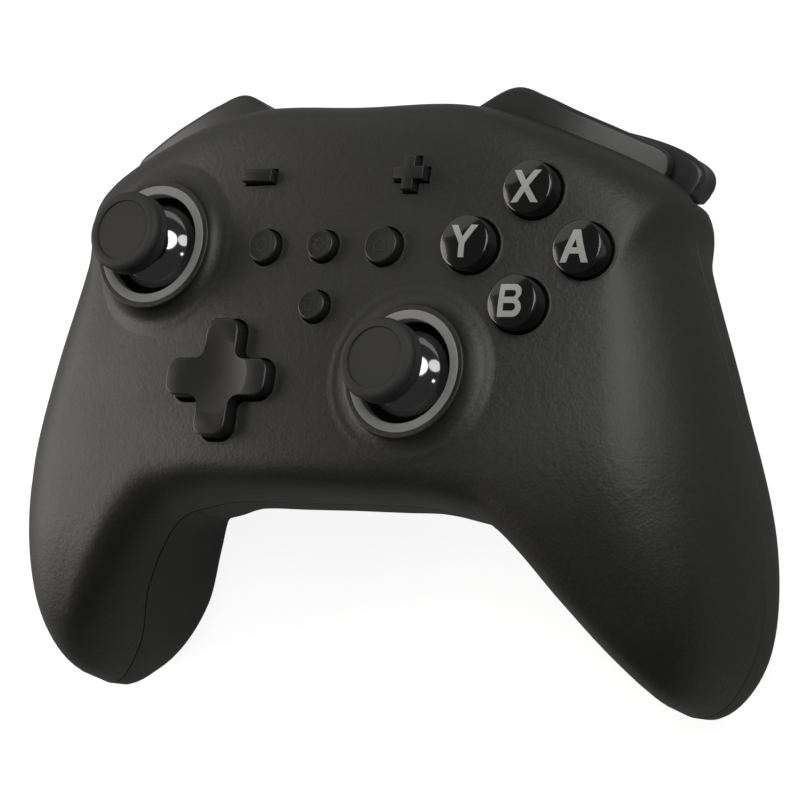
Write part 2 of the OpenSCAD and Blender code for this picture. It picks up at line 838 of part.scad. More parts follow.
function bumper_ring(u, f) =
  let (
    p = bumper_rise * spline(bumper_out, f * (len(bumper_out) - 1)),
    q = -spline(bumper_deep, f * (len(bumper_deep) - 1)),
    a = spline(outer_edge, u).z - loose,
    b = bumper_low,
    c = min(1.2, (a - b) / 4))
  [beside(u, q, a), beside(u, p - c, a), beside(u, p - 0.3 * c, a - 0.3 * c),
    beside(u, p, a - c), beside(u, p, b + c), beside(u, p - 0.3 * c, b + 0.3 * c),
    beside(u, p - c, b), beside(u, q, b)];

module bumper() {
  difference() {
    union() {
      loft([for (k = [0 : bumper_steps])
        bumper_ring(mix(bumper_from, bumper_to, k / bumper_steps), k / bumper_steps)]);
      on(eye_at) rod(eye_r, eye_low, eye_high);
      translate([eye_at.x, eye_at.y - 1, eye_low]) cube([7, eye_r + 0.8, eye_high - eye_low]);
      translate([eye_at.x + eye_web, eye_at.y - 1, eye_low]) cube([5, 5, eye_high - eye_low]);
    }
    on(eye_at) rod(eye_pin_r + slip, -40, 0);
  }
}

module left_bumper() {
  color("#262626") rest() mirror([1, 0, 0]) bumper();
}

module right_bumper() {
  color("#262626") rest() bumper();
}

module bumper_pins() {
  color("silver") rest() pair() on(eye_at) rod(eye_pin_r, eye_low - loose - eye_lug, eye_high + 0.5);
}

module bumper_switches() {
  color("#5a5a5a") rest() pair()
    translate([half_w - 34.6, frame_y + frame_t, frame_top - 4.4]) cube([6, 2.6, 4]);
}

function trigger_ring(u, f) =
  let (
    k = f * (len(trigger_out) - 1),
    p = spline(trigger_out, k),
    q = spline(trigger_in, k),
    a = spline(trigger_top, k),
    h = spline(trigger_deep, k))
  [beside(u, q, a), beside(u, p - 1, a), beside(u, p - 0.2, a - 0.5), beside(u, p - 0.5, a - 0.5 * h),
    beside(u, p + 0.1, a - 0.85 * h), beside(u, p - 0.5, a - h), beside(u, p - 2, a - h),
    beside(u, q, a - 0.5 * h)];

module on_hinge() {
  translate([trigger_x, hinge_y, hinge_z]) rotate([0, 90, 0]) children();
}

module trigger() {
  difference() {
    union() {
      loft([for (k = [0 : trigger_steps])
        trigger_ring(mix(trigger_from, trigger_to, k / trigger_steps), k / trigger_steps)]);
      on_hinge() rod(hub_out, 0, trigger_hub_l);
    }
    on_hinge() {
      rod(pin_r + slip, -5, trigger_hub_l + 5);
      rod(hub_out + loose, spring_from, spring_from + spring_l);
      rod(lug_room, lug_x - loose, lug_x + lug_t + loose);
    }
  }
}

module left_trigger() {
  color("#1f1f1f") rest() mirror([1, 0, 0]) trigger();
}

module right_trigger() {
  color("#1f1f1f") rest() trigger();
}

module trigger_pins() {
  color("silver") rest() pair() on_hinge() rod(pin_r, pin_x - trigger_x, pin_x - trigger_x + pin_len);
}

// Torsion spring round the pin, in a slot of the trigger's hub
spring_from = 6;
spring_l = 6;
spring_wire = 0.25;
spring_turns = 4;
spring_r = pin_r + slip + spring_wire + 0.15;
spring_sides = 6;
spring_rings = 8;

function spring_point(k, j) =
  let (
    a = 360 * k / spring_rings,
    b = 360 * j / spring_sides,
    x = spring_from + 1 + (spring_l - 2) * k / (spring_turns * spring_rings),
    r = spring_r + spring_wire * cos(b))
  [trigger_x + x + spring_wire * sin(b), hinge_y + r * cos(a), hinge_z + r * sin(a)];

module trigger_springs() {
  rings = [for (k = [0 : spring_turns * spring_rings]) [for (j = [0 : spring_sides - 1]) spring_point(k, j)]];
  color("silver") rest() pair() loft(rings);
}

module shoulder_frame() {
  lug_z = hinge_z - hub_out;
  color("#4a4a4a") rest() difference() {
    union() {
      translate([-frame_side, frame_y, frame_low]) cube([2 * frame_side, frame_t, frame_top - frame_low]);
      pair() {
        for (x = [pin_x, trigger_x + lug_x])
          translate([x, frame_y + 1, lug_z]) cube([lug_t, hinge_y + lug_rise - frame_y - 1, 2 * hub_out]);
        translate([eye_at.x - eye_r, frame_y + 1, eye_low - loose - eye_lug])
          cube([2 * eye_r, eye_at.y + eye_r - frame_y - 1, eye_lug]);
      }
    }
    pair() {
      on_hinge() rod(pin_r + slip, -10, 30);
      on(eye_at) rod(eye_pin_r + slip, -40, 0);
    }
    translate([-hump_w / 2 - 0.6, frame_y - 1, frame_low - 1]) cube([hump_w + 1.2, frame_t + 2, hump_room]);
  }
}

// Main board, battery and port
module main_board() {
  edge_y = frame_y + frame_t;
  tongue = 7.5;
  side = cluster_x + action_step + 4.3;
  low_side = half_w - 31.6;
  color("#1f4d33") rest() difference() {
    translate([0, 0, -board_z - board_t]) linear_extrude(board_t) {
      translate([-side, -13]) square([2 * side, 22]);
      translate([6 - side, 0]) square([2 * side - 12, edge_y]);
      translate([-low_side, low_y + 8.5]) square([2 * low_side, -low_y - 8.5]);
      translate([-tongue, 0]) square([2 * tongue, usb_out - 3]);
    }
    for (k = [0, 1]) pair() on(screw_at[k]) rod(screw_boss_r + loose, -30, 0);
    pair() on(post_at) rod(post_bore + slip, -30, 0);
  }
}

module board_screws() {
  color("silver") rest() pair() on(post_at) {
    rod(post_bore, frame_top - 4, -board_z + 0.1);
    rod(1.6, -board_z, -board_z + 1);
  }
}

module battery() {
  cell_l = hump_l - 2 * (hump_wall + loose);
  color("#3b5d8a") in_hump() translate([0, 0, hump_wall]) linear_extrude(cell_t)
    round_rect(cell_w, cell_l, 2.5);
}

module usb_port() {
  color("silver") rest() translate([0, usb_out, usb_z]) rotate([90, 0, 0]) difference() {
    linear_extrude(usb_l) round_rect(usb_w, usb_h, 1.5);
    translate([0, 0, -1]) linear_extrude(usb_l - 0.5) round_rect(usb_w - 0.8, usb_h - 0.8, 1.1);
  }
}

front_shell();
rear_shell();
left_grip_cover();
right_grip_cover();
stick_ring(stick_left);  // left_stick_ring
stick_cap(stick_left);  // left_stick_cap
stick_dome(stick_left);  // left_stick_dome
stick_shaft(stick_left);  // left_stick_shaft
stick_pivot(stick_left);  // left_stick_pivot
stick_yoke(stick_left);  // left_stick_yoke
stick_base(stick_left);  // left_stick_base
stick_ring(stick_right);  // right_stick_ring
stick_cap(stick_right);  // right_stick_cap
stick_dome(stick_right);  // right_stick_dome
stick_shaft(stick_right);  // right_stick_shaft
stick_pivot(stick_right);  // right_stick_pivot
stick_yoke(stick_right);  // right_stick_yoke
stick_base(stick_right);  // right_stick_base
dpad();
dpad_pivot();
dpad_bracket();
dpad_membrane();
action_button(0);  // button_a
action_button(1);  // button_b
action_button(2);  // button_x
action_button(3);  // button_y
action_membrane();
menu_button(-1);  // minus_button
menu_button(1);  // plus_button
small_button(0);  // capture_button
small_button(1);  // settings_button
small_button(2);  // home_button
small_button(3);  // macro_button
centre_membrane();
left_bumper();
right_bumper();
bumper_pins();
bumper_switches();
left_trigger();
right_trigger();
trigger_pins();
trigger_springs();
shoulder_frame();
main_board();
battery();
usb_port();
rumble_motor(-1);  // left_rumble_motor
rumble_weight(-1);  // left_rumble_weight
rumble_motor(1);  // right_rumble_motor
rumble_weight(1);  // right_rumble_weight
case_screws();
board_screws();
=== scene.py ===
import json
import math
import bpy
from mathutils import Matrix, Vector


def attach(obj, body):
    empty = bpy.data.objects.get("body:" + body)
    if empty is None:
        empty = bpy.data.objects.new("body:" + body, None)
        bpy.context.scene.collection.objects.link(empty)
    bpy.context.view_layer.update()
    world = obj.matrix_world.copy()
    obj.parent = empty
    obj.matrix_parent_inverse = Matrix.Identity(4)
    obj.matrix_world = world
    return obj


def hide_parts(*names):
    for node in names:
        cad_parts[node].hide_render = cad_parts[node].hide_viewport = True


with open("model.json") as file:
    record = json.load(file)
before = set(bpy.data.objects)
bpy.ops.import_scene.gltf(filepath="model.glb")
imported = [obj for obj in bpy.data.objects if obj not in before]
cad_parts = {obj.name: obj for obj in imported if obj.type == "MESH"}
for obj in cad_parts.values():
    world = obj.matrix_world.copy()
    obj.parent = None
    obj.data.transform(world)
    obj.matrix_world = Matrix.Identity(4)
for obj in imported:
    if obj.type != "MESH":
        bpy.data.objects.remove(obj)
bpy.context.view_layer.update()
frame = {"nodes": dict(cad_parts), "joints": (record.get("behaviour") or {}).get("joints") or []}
scene = bpy.context.scene
scene.view_settings.view_transform = "Standard"
print("frame loaded:", len(frame["nodes"]), "nodes")

# The pad is modelled in millimetres in the frame of its face (x right, y to the top edge,
# z out of the face) and laid down by the same turn and move as the solids
joints = {j["name"]: j for j in frame["joints"]}
faceUp = -Vector(joints["button_a_press"]["axis"])
restTurn = Matrix.Rotation(-math.atan2(faceUp.y, faceUp.z), 4, "X")
stickPlace = {"left": (-37.8, 0.0), "right": (21.2, -23.8)}
pivotZ = -4.6
leftPivot = Vector((stickPlace["left"][0], stickPlace["left"][1], pivotZ)) * 0.001
restMove = Vector(joints["left_stick_up_down"]["pos_m"]) - restTurn @ leftPivot
layMatrix = Matrix.Translation(restMove) @ restTurn @ Matrix.Scale(0.001, 4)
layMm = Matrix.Translation(restMove * 1000) @ restTurn
tableToFace = layMm.inverted()


# Tools shared by the pieces
doubleGap = 0.0005  # points closer than this are one

def deselectAll():
    bpy.ops.object.select_all(action="DESELECT")


def makeActive(piece):
    deselectAll()
    piece.select_set(True)
    bpy.context.view_layer.objects.active = piece


def meshPiece(name, points, faces, edges=()):
    mesh = bpy.data.meshes.new(name)
    mesh.from_pydata(points, edges, faces)
    mesh.update()
    piece = bpy.data.objects.new(name, mesh)
    scene.collection.objects.link(piece)
    makeActive(piece)
    return piece


def takeActive(name):
    piece = bpy.context.active_object
    piece.name = name
    piece.data.name = name
    return piece


def settle(piece):
    # Writes the object's place and turn into its mesh
    makeActive(piece)
    bpy.ops.object.transform_apply(location=True, rotation=True, scale=True)


def applyModifier(piece, kind, **values):
    makeActive(piece)
    modifier = piece.modifiers.new(kind.lower(), kind)
    for key, value in values.items():
        setattr(modifier, key, value)
    bpy.ops.object.modifier_apply(modifier=modifier.name)


def cutWith(piece, cutter, operation="DIFFERENCE"):
    applyModifier(piece, "BOOLEAN", object=cutter, operation=operation, solver="EXACT")
    bpy.data.objects.remove(cutter)


def joinAll(name, parts):
    deselectAll()
    for part in parts:
        part.select_set(True)
    bpy.context.view_layer.objects.active = parts[0]
    bpy.ops.object.join()
    return takeActive(name)


def smooth(piece, degrees=35):
    makeActive(piece)
    bpy.ops.object.shade_smooth_by_angle(angle=math.radians(degrees))


def closeMesh(piece, merge=0.0):
    # Merges doubled points where asked and turns all faces outwards
    makeActive(piece)
    bpy.ops.object.mode_set(mode="EDIT")
    bpy.ops.mesh.select_all(action="SELECT")
    if merge:
        bpy.ops.mesh.remove_doubles(threshold=merge)
    bpy.ops.mesh.normals_make_consistent(inside=False)
    bpy.ops.object.mode_set(mode="OBJECT")
    return piece


def tubeFaces(rings, sides, closed=True):
    # Faces between rings of points that follow each other, back to the first ring if closed
    faces = []
    for k in range(rings if closed else rings - 1):
        a, b = k * sides, (k + 1) % rings * sides
        faces += [(a + j, b + j, b + (j + 1) % sides, a + (j + 1) % sides) for j in range(sides)]
    return faces


def bevelEnd(piece, side, offset, segments):
    # Rounds the edges of the faces that look up (side 1) or down (side -1)
    makeActive(piece)
    bpy.ops.object.mode_set(mode="EDIT")
    bpy.ops.mesh.select_mode(type="FACE")
    bpy.ops.mesh.select_all(action="DESELECT")
    bpy.ops.object.mode_set(mode="OBJECT")
    for face in piece.data.polygons:
        face.select = face.normal.z * side > 0.9
    bpy.ops.object.mode_set(mode="EDIT")
    bpy.ops.mesh.bevel(offset=offset, segments=segments, affect="EDGES")
    bpy.ops.object.mode_set(mode="OBJECT")


def spun(name, profile, at=(0, 0), steps=96):
    # Turns a profile of (radius, height) points round the face's normal
    piece = meshPiece(name, [(r, 0, z) for r, z in profile], [],
                      [(k, k + 1) for k in range(len(profile) - 1)])
    bpy.ops.object.mode_set(mode="EDIT")
    bpy.ops.mesh.select_all(action="SELECT")
    bpy.ops.mesh.spin(steps=steps, angle=2 * math.pi, center=(0, 0, 0), axis=(0, 0, 1))
    bpy.ops.object.mode_set(mode="OBJECT")
    closeMesh(piece, doubleGap)
    piece.data.transform(Matrix.Translation((at[0], at[1], 0)))
    return piece


def rod(name, radius, low, high, at=(0, 0), sides=96):
    deselectAll()
    bpy.ops.mesh.primitive_cylinder_add(vertices=sides, radius=radius, depth=high - low,
                                        location=(at[0], at[1], (low + high) / 2))
    piece = takeActive(name)
    settle(piece)
    return piece


def block(name, low, high):
    deselectAll()
    bpy.ops.mesh.primitive_cube_add(size=1, location=[(a + b) / 2 for a, b in zip(low, high)])
    piece = takeActive(name)
    piece.scale = [b - a for a, b in zip(low, high)]
    settle(piece)
    return piece


def arc(x, z, radius, start, end, count):
    # Points of a rounded corner in a profile
    return [(x + radius * math.cos(math.radians(start + (end - start) * k / count)),
             z + radius * math.sin(math.radians(start + (end - start) * k / count)))
            for k in range(count + 1)]


def copyOf(piece, name):
    twin = bpy.data.objects.new(name, piece.data.copy())
    twin.data.name = name
    scene.collection.objects.link(twin)
    return twin


def mirrored(piece, name):
    twin = copyOf(piece, name)
    twin.data.transform(Matrix.Scale(-1, 4, (1, 0, 0)))
    twin.data.flip_normals()
    return twin


def finishPiece(piece, body, material, slot, *nodes):
    # Lays the piece down, gives it its finish and ties it to its body
    piece.data.transform(layMatrix)
    piece.data.update()
    piece.data.materials.clear()
    piece.data.materials.append(material)
    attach(piece, body)
    if nodes:
        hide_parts(*nodes)


# Materials
noiseRange = (0.3, 0.7)  # where nearly all values of a noise lie


def newGroup(name, inputs, outputs):
    group = bpy.data.node_groups.new(name, "ShaderNodeTree")
    for label, value in inputs.items():
        socket = group.interface.new_socket(label, in_out="INPUT", socket_type="NodeSocketFloat")
        socket.default_value = value
    for label in outputs:
        group.interface.new_socket(label, in_out="OUTPUT", socket_type="NodeSocketFloat")
    return group, group.nodes.new("NodeGroupInput"), group.nodes.new("NodeGroupOutput")


def grainGroup():
    # Fine moulded grain: two sizes of noise for the bump, a slow one for uneven sheen
    group, start, end = newGroup("mouldedGrain", {"Scale": 1800, "Low": 0.45, "High": 0.6},
                                 ["Height", "Roughness", "Shade"])
    nodes, link = group.nodes, group.links.new
    place = nodes.new("ShaderNodeTexCoord")
    fine = nodes.new("ShaderNodeTexNoise")
    fine.inputs["Detail"].default_value = 2
    link(place.outputs["Object"], fine.inputs["Vector"])
    link(start.outputs["Scale"], fine.inputs["Scale"])
    half = nodes.new("ShaderNodeMath")
    half.operation = "MULTIPLY"
    half.inputs[1].default_value = 0.37
    link(start.outputs["Scale"], half.inputs[0])
    coarse = nodes.new("ShaderNodeTexVoronoi")
    coarse.feature = "SMOOTH_F1"
    link(place.outputs["Object"], coarse.inputs["Vector"])
    link(half.outputs[0], coarse.inputs["Scale"])
    blend = nodes.new("ShaderNodeMix")
    blend.inputs["Factor"].default_value = 0.4
    link(fine.outputs["Fac"], blend.inputs["A"])
    link(coarse.outputs["Distance"], blend.inputs["B"])
    link(blend.outputs["Result"], end.inputs["Height"])
    slow = nodes.new("ShaderNodeTexNoise")
    slow.inputs["Scale"].default_value = 45
    slow.inputs["Detail"].default_value = 3
    link(place.outputs["Object"], slow.inputs["Vector"])
    rough = nodes.new("ShaderNodeMapRange")
    rough.inputs["From Min"].default_value, rough.inputs["From Max"].default_value = noiseRange
    link(slow.outputs["Fac"], rough.inputs["Value"])
    link(start.outputs["Low"], rough.inputs["To Min"])
    link(start.outputs["High"], rough.inputs["To Max"])
    link(rough.outputs["Result"], end.inputs["Roughness"])
    speck = nodes.new("ShaderNodeMapRange")  # tone follows the grain as well as the slow noise
    speck.inputs["From Min"].default_value, speck.inputs["From Max"].default_value = noiseRange
    link(fine.outputs["Fac"], speck.inputs["Value"])
    shade = nodes.new("ShaderNodeMix")
    shade.inputs["Factor"].default_value = 0.6
    link(slow.outputs["Fac"], shade.inputs["A"])
    link(speck.outputs["Result"], shade.inputs["B"])
    link(shade.outputs["Result"], end.inputs["Shade"])
    return group


grain = grainGroup()


def plainMaterial(name, dark, light, scale=1800, low=0.45, high=0.6, bump=0.00002, metallic=0.0,
                  coat=0.0, specular=0.5):
    material = bpy.data.materials.new(name)
    material.use_nodes = True
    nodes, link = material.node_tree.nodes, material.node_tree.links.new
    shader = nodes["Principled BSDF"]
    texture = nodes.new("ShaderNodeGroup")
    texture.node_tree = grain
    texture.inputs["Scale"].default_value = scale
    texture.inputs["Low"].default_value = low
    texture.inputs["High"].default_value = high
    tone = nodes.new("ShaderNodeMix")
    tone.data_type = "RGBA"
    tone.inputs["A"].default_value = (*dark, 1)
    tone.inputs["B"].default_value = (*light, 1)
    link(texture.outputs["Shade"], tone.inputs["Factor"])
    link(tone.outputs["Result"], shader.inputs["Base Color"])
    link(texture.outputs["Roughness"], shader.inputs["Roughness"])
    relief = nodes.new("ShaderNodeBump")
    relief.inputs["Strength"].default_value = 1
    relief.inputs["Distance"].default_value = bump
    link(texture.outputs["Height"], relief.inputs["Height"])
    link(relief.outputs["Normal"], shader.inputs["Normal"])
    shader.inputs["Metallic"].default_value = metallic
    shader.inputs["Coat Weight"].default_value = coat
    shader.inputs["Coat Roughness"].default_value = 0.06
    shader.inputs["Specular IOR Level"].default_value = specular
    return material


shellPlastic = plainMaterial("shellPlastic", (0.011, 0.011, 0.0101), (0.020, 0.020, 0.0182),
                             1700, 0.42, 0.5, 0.00009)
rearPlastic = plainMaterial("rearPlastic", (0.013, 0.013, 0.0115), (0.023, 0.023, 0.0205),
                            1700, 0.45, 0.55, 0.00008)
glossBlack = plainMaterial("glossBlack", (0.006, 0.006, 0.006), (0.008, 0.008, 0.008),
                           900, 0.12, 0.17, 0.000001, coat=0.6)
satinBlack = plainMaterial("satinBlack", (0.012, 0.012, 0.012), (0.016, 0.016, 0.016),
                           2600, 0.3, 0.38, 0.00001)
stickRubber = plainMaterial("stickRubber", (0.016, 0.016, 0.016), (0.021, 0.021, 0.021),
                            3200, 0.6, 0.72, 0.00003)
domeGloss = plainMaterial("domeGloss", (0.3, 0.3, 0.305), (0.36, 0.36, 0.365),
                          700, 0.08, 0.12, 0.0000005, metallic=1)
gripPlastic = plainMaterial("gripPlastic", (0.022, 0.022, 0.020), (0.026, 0.026, 0.024),
                            2200, 0.5, 0.6, 0.00003)
bumperPlastic = plainMaterial("bumperPlastic", (0.016, 0.016, 0.016), (0.020, 0.020, 0.020),
                              2400, 0.34, 0.42, 0.00001)
markGrey = plainMaterial("markGrey", (0.02, 0.02, 0.02), (0.026, 0.026, 0.026), 1800, 0.3, 0.4, 0.00001)
ringGrey = plainMaterial("ringGrey", (0.21, 0.21, 0.208), (0.24, 0.24, 0.238), 2400, 0.4, 0.5, 0.00001)
letterGrey = plainMaterial("letterGrey", (0.34, 0.34, 0.33), (0.38, 0.38, 0.37),
                           900, 0.2, 0.26, 0.000001, coat=0.4)
brushedSteel = plainMaterial("brushedSteel", (0.45, 0.45, 0.45), (0.58, 0.58, 0.58),
                             1200, 0.25, 0.4, 0.00001, metallic=1)
turnedBrass = plainMaterial("turnedBrass", (0.55, 0.4, 0.16), (0.65, 0.48, 0.2),
                            1200, 0.3, 0.4, 0.00001, metallic=1)
greySilicone = plainMaterial("greySilicone", (0.2, 0.21, 0.22), (0.26, 0.27, 0.28), 1500, 0.6, 0.7, 0.00002)
boardGreen = plainMaterial("boardGreen", (0.015, 0.09, 0.045), (0.025, 0.13, 0.06), 600, 0.3, 0.4, 0.00001)
cellWrap = plainMaterial("cellWrap", (0.03, 0.09, 0.22), (0.05, 0.13, 0.28), 800, 0.3, 0.4, 0.00001)
innerPlastic = plainMaterial("innerPlastic", (0.05, 0.05, 0.052), (0.065, 0.065, 0.068),
                             1500, 0.5, 0.6, 0.00002)
print("materials made")


# Shape of the shells: the outer edge runs from the top middle round the side to the tip of
# the grip, the inner edge from the lower middle round the gap to the same tip
body = {
    "halfWidth": 76.6, "topY": 28.0, "lowY": -45.5, "tipY": -76.0, "gripDepth": 56.0, "bodyDepth": 28.0,
    "wall": 2.0, "seam": 0.3, "crown": 0.0022, "bend": 0.0093, "bendY": -30.5,
    "frontPower": 2.2, "backPower": 2.5, "tipRound": 0.9, "tipWall": 0.45, "tipBulge": 1.2,
    "alongSteps": 12, "acrossSteps": 44,
}
halfWidth, topY, lowY, tipY, gripDepth = (body[k] for k in ("halfWidth", "topY", "lowY", "tipY", "gripDepth"))
outerEdge = [Vector(p) for p in [
    (0, topY, -9), (23.5, topY, -9), (43, topY - 5, -11.6), (halfWidth - 15.3, topY - 12.6, -20.6),
    (halfWidth - 13.1, topY - 24, -25), (halfWidth - 6, lowY + 27.5, -30),
    (halfWidth - 0.4, lowY + 4, 18.5 - gripDepth), (halfWidth - 0.9, tipY + 14, 13 - gripDepth),
    (halfWidth - 8.3, tipY + 1.4, 11 - gripDepth),
    (halfWidth - 15.9, tipY + 7, 13 - gripDepth)]]  # the last point only gives the turn at the tip
innerEdge = [Vector(p) for p in [
    (0, lowY, -13), (10.5, lowY, -13), (20.5, lowY, -14), (28, lowY - 1, -15.5), (34, lowY - 2.5, -17),
    (halfWidth - 37, lowY - 7, -20), (halfWidth - 30, tipY + 15.5, 29.5 - gripDepth),
    (halfWidth - 23, tipY + 7.5, 19.5 - gripDepth), (halfWidth - 15.1, tipY + 0.8, 13 - gripDepth),
    (halfWidth - 10, tipY + 1.5, 11.5 - gripDepth)]]
outerRound = [7.5, 7.5, 9, 11.5, 15, 17, 18.5, 16.5, 12]
innerRound = {True: [5.5, 5.5, 6, 6.5, 6.5, 6.5, 6.5, 6.5, 6],  # front
              False: [5.5, 5.5, 8, 12, 13, 9.5, 8.5, 8, 6.5]}  # back
bodyDepth = body["bodyDepth"]
backLevel = [-bodyDepth, -bodyDepth - 0.5, -bodyDepth - 2.5, -36, -38.5, -45,
             2 - gripDepth, -gripDepth, 4 - gripDepth]
lastU = len(outerEdge) - 2


def along(values, u):
    # Smooth curve through a list of control values
    n = len(values) - 1
    i = min(int(math.floor(u)), n - 1)
    f = u - i
    b, c = values[i], values[i + 1]
    a = values[i - 1] if i > 0 else 2 * b - c
    d = values[i + 2] if i + 2 <= n else 2 * c - b
    return 0.5 * (2 * b + (c - a) * f + (2 * a - 5 * b + 4 * c - d) * f * f
                  + (3 * b - a - 3 * c + d) * f * f * f)


def edgeOut(u):
    # Outward direction of the outer edge
    d = (along(outerEdge, u + 0.02) - along(outerEdge, max(u - 0.02, 0))).xy.normalized()
    return Vector((-d.y, d.x))


def softRise(x, power):
    return 1.0 if x >= 1 else (1 - (1 - max(x, 0)) ** power) ** (1 / power)


def faceRise(x):
    # As softRise, but it runs into the face without a step in its curve
    return 1.0 if x >= 1.3 else (1 - (1 - max(x, 0) / 1.3) ** 3) ** (1 / body["frontPower"])


def faceZ(x, y):
    return -body["crown"] * x * x - body["bend"] * max(0, body["bendY"] - y) ** 2


def skinPoint(u, t, inset, front):
    s = abs(u)
    o, i = along(outerEdge, s), along(innerEdge, s)
    span = (i.xy - o.xy).length
    room = span - 2 * inset
    p = o.lerp(i, inset / span + room / span * t)
    roundO = min(max(along(outerRound, s) - inset, 1), room / 2)
    roundI = min(max(along(innerRound[front], s) - inset, 1), room / 2)
    endU = lastU - body["tipWall"] if inset > 0 else lastU
    bulge = body["tipBulge"] * 4 * t * (1 - t) * max(0, s - lastU + 1) ** 2
    if front:
        lift = (faceRise(room * t / roundO) * faceRise(room * (1 - t) / roundI)
                * faceRise((endU - s) / body["tipRound"]))
    else:
        power = body["backPower"]
        lift = (softRise(room * t / roundO, power) * softRise(room * (1 - t) / roundI, power)
                * softRise((endU - s) / body["tipRound"], power))
    far = faceZ(p.x, p.y) - inset if front else along(backLevel, s) + inset
    rim = p.z + (body["seam"] / 2 if front else -body["seam"] / 2)
    if front and inset > 0:
        rim -= 0.2
    return Vector((-p.x if u < 0 else p.x, p.y - bulge, rim + (far - rim) * lift))


def skinPiece(name, fromU, toU, innerFrom, innerTo, front):
    # A curved wall, closed all round its rim
    rows = math.ceil((toU - fromU) * body["alongSteps"])
    columns = body["acrossSteps"]
    width = columns + 1
    places = [(1 - math.cos(math.pi * k / columns)) / 2 for k in range(width)]
    points = [skinPoint(fromU + (toU - fromU) * r / rows, t, 0, front) for r in range(rows + 1) for t in places]
    base = len(points)
    points += [skinPoint(innerFrom + (innerTo - innerFrom) * r / rows, t, body["wall"], front)
               for r in range(rows + 1) for t in places]
    faces = []
    for r in range(rows):
        for c in range(columns):
            a, b = r * width + c, (r + 1) * width + c
            faces.append((a, a + 1, b + 1, b))
            faces.append((base + a, base + b, base + b + 1, base + a + 1))
        a, b = r * width, (r + 1) * width
        faces.append((a, b, base + b, base + a))
        a, b = a + columns, b + columns
        faces.append((b, a, base + a, base + b))
    for c in range(columns):
        faces.append((c + 1, c, base + c, base + c + 1))
        a = rows * width + c
        faces.append((a, a + 1, base + a + 1, base + a))
    if not front:
        faces = [tuple(reversed(f)) for f in faces]
    return meshPiece(name, points, faces)


# Places of the controls on the face
actionAt = (halfWidth - 36, 0.0)
actionStep, actionRadius = 10.5, 5.0
actionDirs = {"a": (1, 0), "b": (0, -1), "x": (0, 1), "y": (-1, 0)}
actionPlace = {k: (actionAt[0] + actionStep * dx, actionAt[1] + actionStep * dy)
               for k, (dx, dy) in actionDirs.items()}
roundButtons = {"capture": ((-12.8, -0.5), 3.1), "settings": ((0, -0.5), 2.8),
                "home": ((12.8, -0.5), 3.4), "macro": ((0, -11.8), 2.8)}
menuPlace = {"minus": (-16.4, 13.0), "plus": (16.4, 13.0)}
dpadAt, dpadRoom = (-18.2, -25.5), 0.55
menuBar = (6.4, 2.4)
buttonGap = 0.4
lipRoom = 0.2  # from an opening's edge to the middle of its lip
cutLow, cutHigh = -20, 20  # levels between which the openings are cut


# Front shell
collarSpec = {"ledge": 9.7, "ring": 11.35, "lip": 12.3, "foot": 16.8, "ringZ": 1.0, "ringThick": 2.2,
              "bead": 0.3, "crest": 0.1, "crestAt": 15.4, "crestWide": 0.7, "sides": 160}


def skinHeight(x, y):
    # Level of the bare front skin over a place of the face
    hit, place = frontShell.ray_cast(Vector((x, y, 60)), Vector((0, 0, -1)))[:2]
    return place.z if hit else faceZ(x, y)


def collarPiece(name, at):
    # A rounded lip at the ring, then a hollow flare that runs out into the skin over a low crest
    spec = collarSpec
    top, lip, foot, bead = spec["ringZ"] - 0.1, spec["lip"], spec["foot"], spec["bead"]
    flat = [(spec["ledge"] - 1, top)] + arc(lip - bead, top - bead, bead, 0, 90, 6)[::-1]
    flare = [lip + (foot - lip) * (k / 22) ** 1.4 for k in range(1, 23)]
    points, n = [], spec["sides"]
    for k in range(n):
        dx, dy = math.cos(2 * math.pi * k / n), math.sin(2 * math.pi * k / n)
        skin = [skinHeight(at[0] + dx * r, at[1] + dy * r) for r in flare]
        column = [(spec["ledge"] - 1, skin[-1] - 2.2)] + flat
        for r, z in zip(flare, skin):
            f = (r - lip) / (foot - lip)
            drop = top - bead - skin[0]
            crest = spec["crest"] * math.exp(-((r - spec["crestAt"]) / spec["crestWide"]) ** 2)
            rise = drop * (1 - math.sqrt(1 - (1 - f) ** 2)) + crest
            column.append((r, z + rise + (0.012 if f < 1 else -0.02)))
        column.append((foot + 0.1, skin[-1] - 1.2))
        points += [(at[0] + dx * r, at[1] + dy * r, z) for r, z in column]
    return closeMesh(meshPiece(name, points, tubeFaces(n, len(column))))


beadSides = 10


def lipPiece(name, outline, size=0.3, rise=0.1):
    # A fine rolled edge round an opening, a bead along the outline that follows the skin
    n, points = len(outline), []
    for k in range(n):
        x, y = outline[k]
        ahead, behind = Vector(outline[(k + 1) % n]), Vector(outline[k - 1])
        tangent = (ahead - behind).normalized()
        z = skinHeight(x, y) - size + rise
        for j in range(beadSides):
            a = 2 * math.pi * j / beadSides
            points.append((x + tangent.y * size * math.cos(a), y - tangent.x * size * math.cos(a),
                           z + size * math.sin(a)))
    return closeMesh(meshPiece(name, points, tubeFaces(n, beadSides)))


def edgeBead(name, reach=3.2, size=0.4, steps=160):
    # The rolled rim of the shell over the bumpers
    m, points = beadSides, []
    for k in range(steps + 1):
        u = reach * (2 * k / steps - 1)
        o = along(outerEdge, abs(u))
        out = edgeOut(abs(u))
        sink = size * (0.65 + 1.2 * (abs(u) / reach) ** 6)
        x, y, z = o.x - out.x * sink, o.y - out.y * sink, o.z + body["seam"] / 2 + size * 0.8
        for j in range(m):
            a = 2 * math.pi * j / m
            px = x + out.x * size * math.cos(a)
            points.append((px if u >= 0 else -px, y + out.y * size * math.cos(a), z + size * math.sin(a)))
    faces = tubeFaces(steps + 1, m, False)
    faces += [tuple(range(m)), tuple(steps * m + j for j in range(m))]
    return closeMesh(meshPiece(name, points, faces), doubleGap)


